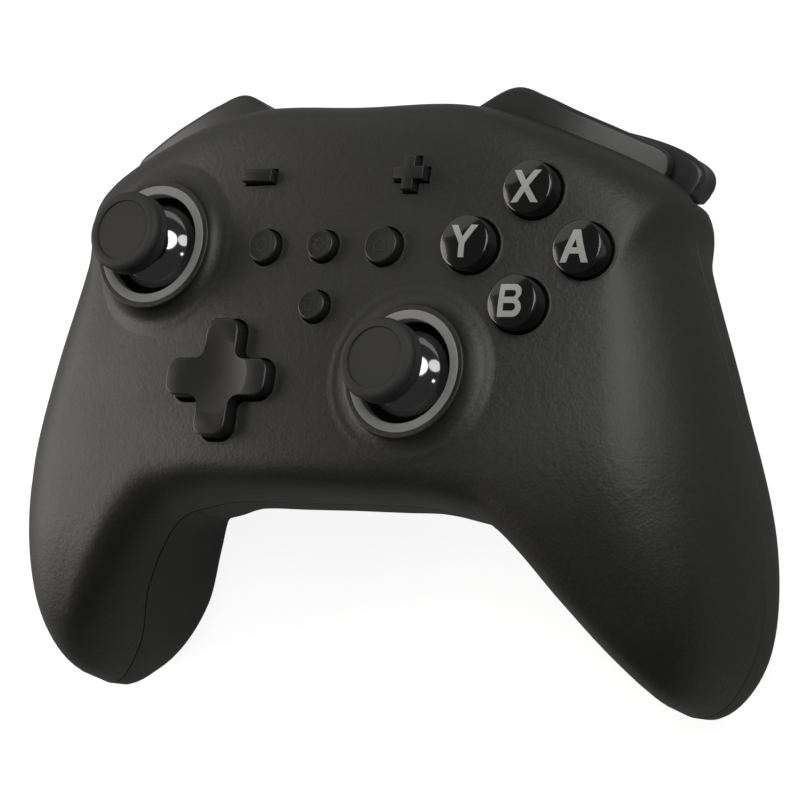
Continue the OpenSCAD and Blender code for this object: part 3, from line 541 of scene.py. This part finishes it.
def circleLine(radius, count=40, at=(0, 0)):
    turns = [2 * math.pi * k / count for k in range(count)]
    return [(at[0] + radius * math.cos(a), at[1] + radius * math.sin(a)) for a in turns]


def guidePiece(name, at, radius, low):
    return rod(name, radius + buttonGap + 1.1, low, faceZ(abs(at[0]) + radius, at[1]) - 1, at, 64)


def crossCutter(name, length, width, low, high, at, both=True):
    x, y = at
    parts = [block(name, (x - length / 2, y - width / 2, low), (x + length / 2, y + width / 2, high))]
    if both:
        other = block(name, (x - width / 2, y - length / 2, low), (x + width / 2, y + length / 2, high))
        cutWith(parts[0], other, "UNION")
    return parts[0]


def dpadOutline(grow):
    # Rounded cross: half of the arm width, half length, end rounding and inner fillet
    arm, half, endR, fillet = 3.5 + grow, 11 + grow, 2.4 + grow, 1.8 - grow * 0.5
    quarter = (arc(half - endR, arm - endR, endR, 0, 90, 6)
               + arc(arm + fillet, arm + fillet, fillet, 270, 180, 6)
               + arc(arm - endR, half - endR, endR, 0, 90, 6))
    points = []
    for turn in range(4):
        c, s = math.cos(turn * math.pi / 2), math.sin(turn * math.pi / 2)
        points += [(x * c - y * s, x * s + y * c) for x, y in quarter]
    return points


def prism(name, outline, low, high, at):
    n = len(outline)
    points = [(x + at[0], y + at[1], z) for z in (low, high) for x, y in outline]
    faces = [tuple(reversed(range(n))), tuple(range(n, 2 * n))]
    faces += [(k, (k + 1) % n, n + (k + 1) % n, n + k) for k in range(n)]
    return meshPiece(name, points, faces)


frontShell = skinPiece("frontShell", -lastU, lastU, body["tipWall"] - lastU, lastU - body["tipWall"], True)
added = [collarPiece("collar", at) for at in stickPlace.values()]
lipStart = buttonGap + lipRoom
added += [lipPiece("lip", circleLine(actionRadius + lipStart, 72, at)) for at in actionPlace.values()]
added += [lipPiece("lip", circleLine(r + lipStart, 60, at)) for at, r in roundButtons.values()]
added.append(lipPiece("lip", [(x + dpadAt[0], y + dpadAt[1]) for x, y in dpadOutline(dpadRoom + lipRoom)]))
added.append(edgeBead("edgeBead"))
added += [guidePiece("guide", at, actionRadius, -8.6) for at in actionPlace.values()]
added += [guidePiece("guide", at, r, -4.2) for at, r in roundButtons.values()]
for at in menuPlace.values():
    added.append(block("guide", (at[0] - 4.7, at[1] - 4.7, -4.2),
                       (at[0] + 4.7, at[1] + 4.7, faceZ(20, 13) - 1)))
cutWith(frontShell, joinAll("added", added), "UNION")
holes = []
for at in stickPlace.values():
    bore = rod("bore", collarSpec["ledge"], cutLow, cutHigh, at)
    seatLow = collarSpec["ringZ"] - collarSpec["ringThick"]
    cutWith(bore, rod("seat", collarSpec["ring"], seatLow, cutHigh + 0.5, at), "UNION")
    holes.append(bore)
holes += [rod("hole", actionRadius + buttonGap, cutLow, cutHigh, at) for at in actionPlace.values()]
holes += [rod("hole", r + buttonGap, cutLow, cutHigh, at) for at, r in roundButtons.values()]
for key, both in (("minus", False), ("plus", True)):
    holes.append(crossCutter("hole", menuBar[0] + 2 * buttonGap, menuBar[1] + 2 * buttonGap,
                             cutLow, cutHigh, menuPlace[key], both))
holes.append(prism("hole", dpadOutline(dpadRoom), cutLow, cutHigh, dpadAt))
cutWith(frontShell, joinAll("holes", holes))
smooth(frontShell, 40)
applyModifier(frontShell, "WEIGHTED_NORMAL", keep_sharp=True)
finishPiece(frontShell, "body", shellPlastic, "shell", "front_shell")
print("front shell made:", len(frontShell.data.polygons), "faces")


# Grip covers and rear shell
rearSpec = {
    "rearU": 3.49, "coverU": 3.51, "bossRadius": 2.6, "bossMeet": (-18, -18, -34), "bossU": (1.2, 1, 7),
    "screws": ((26, 9), (12, lowY + 6), (halfWidth - 15.5, tipY + 15)), "headHole": 1.95, "headSeat": 2.05,
    "humpSize": (38.2, 22), "humpRound": 5, "humpWall": 1.8, "humpEdge": 1.4, "humpAt": (0, 9.5, -bodyDepth - 5),
    "opening": (0.9, 3.22, 2.15, 7.5, 4.4), "port": (9.6, 3.8, -15.8),
}


def beside(u, n, z=0.0):
    # A point out from the outer edge by n, at level z
    o, e = along(outerEdge, u), edgeOut(u)
    return Vector((o.x + e.x * n, o.y + e.y * n, z))


def roundRect(width, length, radius, count=8):
    x, y = width / 2 - radius, length / 2 - radius
    return (arc(x, y, radius, 0, 90, count) + arc(-x, y, radius, 90, 180, count)
            + arc(-x, -y, radius, 180, 270, count) + arc(x, -y, radius, 270, 360, count))


def fromTable(piece):
    # Takes a piece drawn as it stands on the table into the face's frame
    piece.data.transform(tableToFace)
    return piece


def tableCutter():
    return fromTable(block("tableCut", (-150, -150, -40), (150, 150, 0)))


def rearBoss(k):
    low = along(backLevel, rearSpec["bossU"][k]) + body["wall"] / 2
    return rod("boss", rearSpec["bossRadius"], low, rearSpec["bossMeet"][k] - 0.05, rearSpec["screws"][k], 48)


def headBore(k):
    return rod("bore", rearSpec["headHole"], -80, rearSpec["bossMeet"][k] - rearSpec["headSeat"],
               rearSpec["screws"][k], 48)


rightCover = skinPiece("rightGripCover", rearSpec["coverU"], lastU, rearSpec["coverU"],
                       lastU - body["tipWall"], False)
cutWith(rightCover, rearBoss(2), "UNION")
cutWith(rightCover, headBore(2))
cutWith(rightCover, tableCutter())
smooth(rightCover, 30)
leftCover = mirrored(rightCover, "leftGripCover")
for side, piece in (("left", leftCover), ("right", rightCover)):
    finishPiece(piece, "body", gripPlastic, "grip", side + "_grip_cover")
print("grip covers made")

rearU = rearSpec["rearU"]
rearShell = skinPiece("rearShell", -rearU, rearU, -rearU, rearU, False)
humpY = (layMm @ Vector(rearSpec["humpAt"])).y
width, length = rearSpec["humpSize"]
edge, wall = rearSpec["humpEdge"], rearSpec["humpWall"]
hump = prism("hump", roundRect(width, length, rearSpec["humpRound"]), 0, 14, (0, humpY))
bevelEnd(hump, -1, edge, 5)  # round the face that the pad lies on
cutWith(rearShell, fromTable(hump), "UNION")
bosses = [rearBoss(0), rearBoss(1)]
bosses += [mirrored(b, "boss") for b in bosses]
cutWith(rearShell, joinAll("bosses", bosses), "UNION")
insideLine = roundRect(width - 2 * wall, length - 2 * wall, rearSpec["humpRound"] - wall)
inside = prism("inside", insideLine, wall, 16, (0, humpY))
cutWith(rearShell, fromTable(inside))
fromU, toU, stepU, deep, slim = rearSpec["opening"]
band = [fromU + (toU - fromU) * k / 60 for k in range(61)]
outline = [beside(u, -deep if u < stepU else -slim).xy for u in band]
outline += [beside(u, 15).xy for u in reversed(band)]
openRight = prism("opening", [tuple(p) for p in outline], -80, 0, (0, 0))
closeMesh(openRight)
cuts = [openRight, mirrored(openRight, "opening")]
cuts += [headBore(0), headBore(1)]
cuts += [mirrored(c, "bore") for c in cuts[2:4]]
portW, portH, portZ = rearSpec["port"]
cuts.append(block("portCut", (-portW / 2, topY - 6.6, portZ - portH / 2),
                  (portW / 2, topY + 5.4, portZ + portH / 2)))
for cut in cuts:
    cutWith(rearShell, cut)
cutWith(rearShell, tableCutter())
smooth(rearShell, 30)
finishPiece(rearShell, "body", rearPlastic, "shell", "rear_shell")
print("rear shell made:", len(rearShell.data.polygons), "faces")


# Case screws with a cross recess in the head
screwSpec = {"thread": 1.1, "head": 1.9, "headHeight": 1.4, "bite": 8, "recess": (0.5, 2.3, 0.9)}


def screwPiece(k):
    spec = screwSpec
    thread, head, meet = spec["thread"], spec["head"], rearSpec["bossMeet"][k]
    seat = meet - rearSpec["headSeat"]
    low = seat - spec["headHeight"]
    end = meet + spec["bite"]
    profile = [(0, end), (thread, end - 0.6), (thread, seat), (head, seat), (head, low + 0.5)]
    profile += arc(head - 0.5, low + 0.5, 0.5, 0, -90, 5) + [(0, low)]
    screw = spun("screw", profile, rearSpec["screws"][k], 48)
    narrow, wide, depth = spec["recess"]
    cross = crossCutter("cross", wide, narrow, low - 1, low + depth, rearSpec["screws"][k])
    cutWith(screw, cross)
    return screw


screws = [screwPiece(k) for k in range(3)]
screws += [mirrored(s, "screw") for s in screws]
caseScrews = joinAll("caseScrews", screws)
smooth(caseScrews, 35)
finishPiece(caseScrews, "body", brushedSteel, "steel", "case_screws")
print("screws made")


# Thumbsticks: grey ring, glossy dome, rubber cap
stickSpec = {
    "ringIn": 9.6, "ringOut": 11.3, "ringLow": -1.2, "ringTop": 1.0, "ringEdge": 0.18,
    "domeOut": 9.0, "domeIn": 8.2, "domeFrom": 22, "domeTo": 80, "neck": 3.4, "neckTop": 5.2,
    "cap": 7.6, "capRim": 6.6, "capLow": 5.2, "capTop": 10.8, "capRound": 1.3, "dish": 0.35, "flat": 5.6,
    "bore": 1.95,
}
stickSides = 128


def stickRing(name, at):
    s = stickSpec
    e, inner, outer, low = s["ringEdge"], s["ringIn"], s["ringOut"], s["ringLow"]
    side = s["ringTop"] - e
    profile = [(inner, low), (inner, side)] + arc(inner + e, side, e, 180, 90, 4)
    profile += arc(outer - e, side, e, 90, 0, 4) + [(outer, low), (inner, low)]
    return spun(name, profile, at, stickSides)


def stickDome(name, at):
    s = stickSpec
    outer = arc(0, pivotZ, s["domeOut"], 90 - s["domeTo"], 90 - s["domeFrom"], 24)
    neckLow = outer[-1][1]
    inner = arc(0, pivotZ, s["domeIn"], 90 - s["domeFrom"], 90 - s["domeTo"], 16)
    fillet = [(s["neck"] + 0.02, neckLow + 0.15), (s["neck"], neckLow + 0.4)]
    neck = [(s["neck"], s["neckTop"]), (s["bore"], s["neckTop"]), (s["bore"], inner[0][1])]
    return spun(name, outer + fillet + neck + inner + [outer[0]], at, stickSides)


def stickCap(name, at):
    s = stickSpec
    top, low, r = s["capTop"], s["capLow"], s["capRound"]
    side = [(s["bore"], low), (s["capRim"] - 0.3, low), (s["capRim"], low + 0.3), (s["capRim"], low + 1.2),
            (s["capRim"] + 0.3, low + 1.42), (s["cap"] - 0.25, low + 1.65)]
    side += arc(s["cap"] - 0.25, low + 1.9, 0.25, -90, 0, 4)
    for k in range(5):  # fine grip lines round the side
        z = low + 2.2 + 0.36 * k
        side += [(s["cap"], z), (s["cap"] - 0.07, z + 0.09), (s["cap"], z + 0.18)]
    side += arc(s["cap"] - r, top - r, r, 0, 78, 12)
    rim = s["cap"] - r - 0.25
    flat, floorZ = s["flat"], top - s["dish"]
    side += [(rim, top - 0.01), (rim - 0.35, top - 0.06), (flat, top - 0.3), (flat - 0.4, floorZ + 0.1)]
    side += [(flat * f - 0.4 * f, floorZ + 0.08 * f) for f in (0.8, 0.5, 0.2)] + [(0, floorZ)]
    return spun(name, side, at, stickSides)


for side, at in stickPlace.items():
    ring, dome, cap = stickRing(side + "Ring", at), stickDome(side + "Dome", at), stickCap(side + "Cap", at)
    for piece in (ring, dome, cap):
        smooth(piece, 35)
    finishPiece(ring, "body", ringGrey, "ring", side + "_stick_ring")
    finishPiece(dome, side + "_stick", domeGloss, "dome", side + "_stick_dome")
    finishPiece(cap, side + "_stick", stickRubber, "stick_rubber", side + "_stick_cap")
print("sticks made")


# Action buttons with their letters
actionSpec = {"radius": actionRadius, "low": -9.55, "rise": 3.1, "dome": 0.5, "edge": 0.45, "letter": 1.0}


def domeHeight(r, radius, rise):
    return rise * (1 - (r / radius) ** 2)


def actionButton(name, at):
    s = actionSpec
    low = s["low"]
    top = faceZ(*at) + s["rise"]
    e = s["edge"]
    reach = s["radius"] - e
    profile = [(0, low), (s["radius"], low), (s["radius"], top - e)] + arc(reach, top - e, e, 0, 72, 7)
    shares = (0.98, 0.95, 0.9, 0.8, 0.65, 0.5, 0.35, 0.2, 0)
    profile += [(reach * f, top + domeHeight(reach * f, reach, s["dome"])) for f in shares]
    return spun(name, profile, at, 96), top


# Outlines of the letters and of their openings
letterLines = {
    "X": [[(-2.8, 3), (-1.35, 3), (0, 1.05), (1.35, 3), (2.8, 3), (0.725, 0), (2.8, -3), (1.35, -3), (0, -1.05),
           (-1.35, -3), (-2.8, -3), (-0.725, 0)]],
    "Y": [[(-2.75, 3), (-1.35, 3), (0, 0.75), (1.35, 3), (2.75, 3), (0.6, -0.45), (0.6, -3), (-0.6, -3),
           (-0.6, -0.45)]],
    "A": [[(-2.85, -3), (-1.5, -3), (-0.95, -1.45), (0.95, -1.45), (1.5, -3), (2.85, -3), (0.72, 3), (-0.72, 3)],
          [(-0.56, -0.35), (0.56, -0.35), (0, 1.225)]],
    "B": [[(-2.35, -3), (-2.35, 3)] + arc(0.65, 1.5, 1.5, 90, -50, 10) + arc(0.7, -1.3, 1.7, 55, -90, 10),
          [(-1.2, 1.88)] + arc(0.5, 1.25, 0.63, 90, -90, 8) + [(-1.2, 0.62)],
          [(-1.2, -0.5)] + arc(0.6, -1.2, 0.7, 90, -90, 8) + [(-1.2, -1.9)]],
}


def letterPiece(name, letter, at, top):
    s = actionSpec
    curve = bpy.data.curves.new(name, "CURVE")
    curve.dimensions = "2D"
    curve.fill_mode = "BOTH"
    for line in letterLines[letter]:
        spline = curve.splines.new("POLY")
        spline.points.add(len(line) - 1)
        for point, (x, y) in zip(spline.points, line):
            point.co = (x, y, 0, 1)
        spline.use_cyclic_u = True
    outline = bpy.data.objects.new(name, curve)
    scene.collection.objects.link(outline)
    makeActive(outline)
    bpy.ops.object.convert(target="MESH")
    piece = takeActive(name)
    bpy.ops.object.mode_set(mode="EDIT")
    bpy.ops.mesh.select_all(action="SELECT")
    bpy.ops.mesh.quads_convert_to_tris()
    bpy.ops.mesh.subdivide(number_cuts=5)
    bpy.ops.mesh.remove_doubles(threshold=0.0005)
    bpy.ops.object.mode_set(mode="OBJECT")
    reach = s["radius"] - s["edge"]
    for vertex in piece.data.vertices:  # laid on the button's dome
        x, y = vertex.co.x * s["letter"], vertex.co.y * s["letter"]
        vertex.co = (x + at[0], y + at[1], top + domeHeight(math.hypot(x, y), reach, s["dome"]) + 0.012)
    piece.data.update()
    if sum(face.normal.z for face in piece.data.polygons) < 0:
        piece.data.flip_normals()
    return piece


for key, at in actionPlace.items():
    node = "button_" + key
    button, top = actionButton("button" + key.upper(), at)
    smooth(button, 30)
    finishPiece(button, node, glossBlack, "gloss", node)
    letter = letterPiece("letter" + key.upper(), key.upper(), at, top)
    finishPiece(letter, node, letterGrey, "gloss")
print("action buttons made")


# Direction pad: one cross with a dished middle
dpadSpec = {"under": -1.33, "top": 2.27, "edge": 0.42, "dish": 0.6, "dishRadius": 39.4}


def dishCutter():
    s = dpadSpec
    centre = s["top"] + s["dishRadius"] - s["dish"]
    profile = [(s["dishRadius"] * math.sin(math.radians(a)), centre - s["dishRadius"] * math.cos(math.radians(a)))
               for a in [k * 0.5 for k in range(25)]]
    return spun("dishCut", profile + [(profile[-1][0], s["top"] + 4), (0, s["top"] + 4)], dpadAt, 96)


dpad = prism("dpadCross", dpadOutline(0), dpadSpec["under"], dpadSpec["top"], dpadAt)
bevelEnd(dpad, 1, dpadSpec["edge"], 4)
cutWith(dpad, dishCutter())
smooth(dpad, 25)
finishPiece(dpad, "dpad", satinBlack, "satin", "dpad")
print("direction pad made")


# Small buttons with raised marks
smallSpec = {"rise": 1.8, "low": -5.15, "edge": 0.4, "mark": 0.05, "barEdge": 0.3}


def markStrip(name, outer, inner, low, high, at):
    n = len(outer)
    rows = ((outer, low), (outer, high), (inner, high), (inner, low))
    points = [(x + at[0], y + at[1], z) for line, z in rows for x, y in line]
    faces = [(r * n + k, r * n + (k + 1) % n, (r + 1) * n + (k + 1) % n, (r + 1) * n + k)
             for r in range(len(rows) - 1) for k in range(n)]
    return meshPiece(name, points, faces)


def markFor(key, at, top):
    low, high = top - 0.1, top + smallSpec["mark"]
    if key == "capture":
        return markStrip("captureMark", circleLine(1.35), circleLine(1.0), low, high, at)
    if key == "macro":
        return markStrip("macroMark", roundRect(2.5, 2.5, 0.6), roundRect(1.9, 1.9, 0.3), low, high, at)
    if key == "home":
        house = [(-1.35, -1.2), (1.35, -1.2), (1.35, 0.15), (0, 1.4), (-1.35, 0.15)]
        return markStrip("homeMark", house, [(x * 0.72, y * 0.72 - 0.03) for x, y in house], low, high, at)
    cog = []
    for k in range(48):
        r = 1.45 if k % 6 < 3 else 1.15
        cog.append((r * math.cos(2 * math.pi * k / 48), r * math.sin(2 * math.pi * k / 48)))
    return markStrip("settingsMark", cog, circleLine(0.6, 48), low, high, at)


for key, (at, radius) in roundButtons.items():
    s = smallSpec
    e, top = s["edge"], faceZ(*at) + s["rise"]
    profile = [(0, s["low"]), (radius, s["low"]), (radius, top - e)] + arc(radius - e, top - e, e, 0, 90, 7)
    profile += [(radius - e - 0.25, top - 0.03), (0, top - 0.03)]
    button = spun(key + "Button", profile, at, 72)
    smooth(button, 30)
    finishPiece(button, key + "_button", satinBlack, "satin", key + "_button")
    mark = markFor(key, at, top - 0.03)
    smooth(mark, 20)
    finishPiece(mark, key + "_button", markGrey, "satin")

long, thin = menuBar[0] / 2, menuBar[1] / 2
barLine = [(-long, -thin), (long, -thin), (long, thin), (-long, thin)]
plusLine = [(-thin, -long), (thin, -long), (thin, -thin), (long, -thin), (long, thin), (thin, thin),
            (thin, long), (-thin, long), (-thin, thin), (-long, thin), (-long, -thin), (-thin, -thin)]
for key, line in (("minus", barLine), ("plus", plusLine)):
    at = menuPlace[key]
    button = prism(key + "Button", line, smallSpec["low"], faceZ(*at) + smallSpec["rise"], at)
    bevelEnd(button, 1, smallSpec["barEdge"], 3)
    smooth(button, 30)
    finishPiece(button, key + "_button", satinBlack, "satin", key + "_button")
print("small buttons made")


# Bumpers and triggers follow the top edge
bumperSpec = {"from": 0.94, "to": 2.74, "low": -20.5, "steps": 70,
              "out": [0.42, 5.2, 5.1, 4.6, 4.4, 4.2, 4.0], "deep": [3.5, 3.5, 2.6, 1.6, 1.3, 1.3, 1.3],
              "eye": (18.3, 22.0), "eyeRadius": 2.6, "eyeZ": (-17, -11.5)}
triggerSpec = {"from": 1.2, "to": 3.02, "steps": 60, "top": [-21, -21, -21.2, -21.6, -22.4],
               "out": [1.7, 4, 5.0, 5.6, 5.4], "in": [-6, -4.8, 0.8, -0.4, -1.8], "deep": [6.5, 7.8, 7.8, 7.6, 6],
               "hinge": (21.5, -23.2), "hub": 2.2, "hubX": (27, 44), "lugRoom": 3.02, "lugX": (45.0, 47.1)}


def loftPiece(name, rings):
    m, n = len(rings[0]), len(rings) - 1
    faces = [tuple(reversed(range(m))), tuple(n * m + k for k in range(m))]
    faces += [(i * m + j, i * m + (j + 1) % m, (i + 1) * m + (j + 1) % m, (i + 1) * m + j)
              for i in range(n) for j in range(m)]
    return closeMesh(meshPiece(name, [p for ring in rings for p in ring], faces))


def roundedEnd(f, start):
    # Takes a bar in towards its end, as a full rounding
    return 1.0 if f < start else math.sqrt(1 - 0.9 * ((f - start) / (1 - start)) ** 5)


def bumperRing(f):
    s = bumperSpec
    u = s["from"] + (s["to"] - s["from"]) * f
    p, q = along(s["out"], f * (len(s["out"]) - 1)), -along(s["deep"], f * (len(s["deep"]) - 1))
    p *= roundedEnd(f, 0.84)
    high, low = along(outerEdge, u).z - 0.3, s["low"]
    c = min(1.2, (high - low) / 4)
    line = [(q, high)] + arc(p - c, high - c, c, 90, 0, 8) + arc(p - c, low + c, c, 0, -90, 8) + [(q, low)]
    return [beside(u, n, z) for n, z in line]


def triggerRing(f):
    s = triggerSpec
    u = s["from"] + (s["to"] - s["from"]) * f
    k = f * (len(s["out"]) - 1)
    p, q, a, h = (along(s[name], k) for name in ("out", "in", "top", "deep"))
    p *= roundedEnd(f, 0.78)
    line = [(q, a)] + arc(p - 1.2, a - 1.2, 1.2, 90, 0, 6)
    line += [(p - 0.3, a - 0.35 * h), (p - 0.4, a - 0.6 * h), (p - 0.1, a - 0.8 * h)]  # hollow for the finger
    line += arc(p - 1, a - h + 1, 0.9, 0, -90, 6) + [(p - 2.2, a - h), (q, a - 0.5 * h)]
    return [beside(u, n, z) for n, z in line]


steps = bumperSpec["steps"]
rightBumper = loftPiece("rightBumper", [bumperRing(k / steps) for k in range(steps + 1)])
x, y = bumperSpec["eye"]
lowZ, highZ = bumperSpec["eyeZ"]
cutWith(rightBumper, block("web", (x + 4.8, y - 1, lowZ), (x + 9.8, y + 4, highZ)), "UNION")
cutWith(rightBumper, block("web", (x, y - 1, lowZ), (x + 7, y + 2.4, highZ)), "UNION")
cutWith(rightBumper, rod("eye", bumperSpec["eyeRadius"], lowZ, highZ, (x, y), 48), "UNION")
cutWith(rightBumper, rod("pinHole", 1.25, -40, 0, (x, y), 48))
smooth(rightBumper, 40)
leftBumper = mirrored(rightBumper, "leftBumper")
for side, piece in (("left", leftBumper), ("right", rightBumper)):
    finishPiece(piece, side + "_bumper", bumperPlastic, "satin", side + "_bumper")

steps = triggerSpec["steps"]
rightTrigger = loftPiece("rightTrigger", [triggerRing(k / steps) for k in range(steps + 1)])
applyModifier(rightTrigger, "BEVEL", width=0.5, segments=4, limit_method="ANGLE", angle_limit=math.radians(25))
toHinge = Matrix.Translation((0, *triggerSpec["hinge"])) @ Matrix.Rotation(math.pi / 2, 4, "Y")
hub = rod("hub", triggerSpec["hub"], *triggerSpec["hubX"], (0, 0), 48)
hub.data.transform(toHinge)
cutWith(rightTrigger, hub, "UNION")
lugRoom = rod("lugRoom", triggerSpec["lugRoom"], *triggerSpec["lugX"], (0, 0), 48)
lugRoom.data.transform(toHinge)
cutWith(rightTrigger, lugRoom)
smooth(rightTrigger, 40)
leftTrigger = mirrored(rightTrigger, "leftTrigger")
for side, piece in (("left", leftTrigger), ("right", rightTrigger)):
    finishPiece(piece, side + "_trigger", bumperPlastic, "satin", side + "_trigger")
print("bumpers and triggers made")


# Finishes of the solids that stay as they are
solidFinish = {
    "steel": (brushedSteel, ("bumper_pins", "trigger_pins", "trigger_springs", "board_screws", "usb_port",
                             "dpad_pivot", "left_stick_shaft", "right_stick_shaft",
                             "left_rumble_motor", "right_rumble_motor")),
    "brass": (turnedBrass, ("left_rumble_weight", "right_rumble_weight")),
    "silicone": (greySilicone, ("dpad_membrane", "action_membrane", "centre_membrane")),
    "board": (boardGreen, ("main_board",)),
    "cell": (cellWrap, ("battery",)),
}
finishOf = {node: material for material, nodes in solidFinish.values() for node in nodes}
for name, node in frame["nodes"].items():
    node.data.materials.clear()
    node.data.materials.append(finishOf.get(name, innerPlastic))

print("camera and light")
cameraSpec = {"place": (0.4194, 0.0313, 0.6797), "turn": (-2.63, 32.137, -0.619), "lens": 189.7}
deselectAll()
bpy.ops.object.camera_add(location=cameraSpec["place"], rotation=[math.radians(a) for a in cameraSpec["turn"]])
camera = bpy.context.active_object
camera.data.lens = cameraSpec["lens"]
camera.data.sensor_width = 36
camera.data.clip_end = 50
scene.camera = camera

lightSpec = {
    "softbox": {"place": (0.42, 0.52, 0.78), "size": 0.85, "power": 6.0, "colour": (1, 0.99, 0.97)},
    "top": {"place": (-0.7, 0.96, 0.25), "size": 1.3, "power": 2.6, "colour": (1, 0.99, 0.97)},
    "left": {"place": (-0.95, 0.05, 0.4), "size": 0.9, "power": 5.6, "colour": (1, 0.96, 0.9)},
    "back": {"place": (0.75, 0.42, 0.26), "size": 0.42, "power": 0.8, "colour": (1, 1, 1)},
    "spark": {"place": (0.85, -0.06, 0.42), "size": 0.1, "power": 0.12, "colour": (1, 1, 1)},
}
for name, spec in lightSpec.items():
    deselectAll()
    bpy.ops.object.light_add(type="AREA", location=spec["place"])
    lamp = bpy.context.active_object
    lamp.name = name + "Light"
    lamp.data.shape = "DISK"
    lamp.data.size = spec["size"]
    lamp.data.energy = spec["power"]
    lamp.data.color = spec["colour"]
    aim = Vector((0, 0, 0.03)) - Vector(spec["place"])
    lamp.rotation_euler = aim.to_track_quat("-Z", "Y").to_euler()

# White surroundings: full strength where the camera sees them, little as light on the pad
world = scene.world or bpy.data.worlds.new("studio")
scene.world = world
world.use_nodes = True
worldNodes, worldLink = world.node_tree.nodes, world.node_tree.links.new
background = worldNodes["Background"]
background.inputs["Color"].default_value = (1, 1, 1, 1)
seen = worldNodes.new("ShaderNodeLightPath")
level = worldNodes.new("ShaderNodeMapRange")
level.inputs["To Min"].default_value = 0.06
level.inputs["To Max"].default_value = 1.0
worldLink(seen.outputs["Is Camera Ray"], level.inputs["Value"])
worldLink(level.outputs["Result"], background.inputs["Strength"])

# A floor that is white to the camera, keeps the shadow and shows only faintly in reflections
deselectAll()
bpy.ops.mesh.primitive_plane_add(size=6)
floor = takeActive("floor")
floorPaint = bpy.data.materials.new("floorPaint")
floorPaint.use_nodes = True
floorNodes, floorLink = floorPaint.node_tree.nodes, floorPaint.node_tree.links.new
paint = floorNodes["Principled BSDF"]
paint.inputs["Base Color"].default_value = (0.4, 0.4, 0.4, 1)
paint.inputs["Roughness"].default_value = 0.9
paint.inputs["Specular IOR Level"].default_value = 0.0
paint.inputs["Emission Color"].default_value = (1, 1, 1, 1)
rays = floorNodes.new("ShaderNodeLightPath")
mirrors = floorNodes.new("ShaderNodeMath")
mirrors.operation = "MAXIMUM"
floorLink(rays.outputs["Is Glossy Ray"], mirrors.inputs[0])
floorLink(rays.outputs["Is Transmission Ray"], mirrors.inputs[1])
dim = floorNodes.new("ShaderNodeMath")
dim.operation = "MULTIPLY"
dim.inputs[1].default_value = 0.06
floorLink(mirrors.outputs[0], dim.inputs[0])
glow = floorNodes.new("ShaderNodeMath")
glow.operation = "MULTIPLY_ADD"
glow.inputs[1].default_value = 0.9
floorLink(rays.outputs["Is Camera Ray"], glow.inputs[0])
floorLink(dim.outputs[0], glow.inputs[2])
floorLink(glow.outputs[0], paint.inputs["Emission Strength"])
floor.data.materials.append(floorPaint)
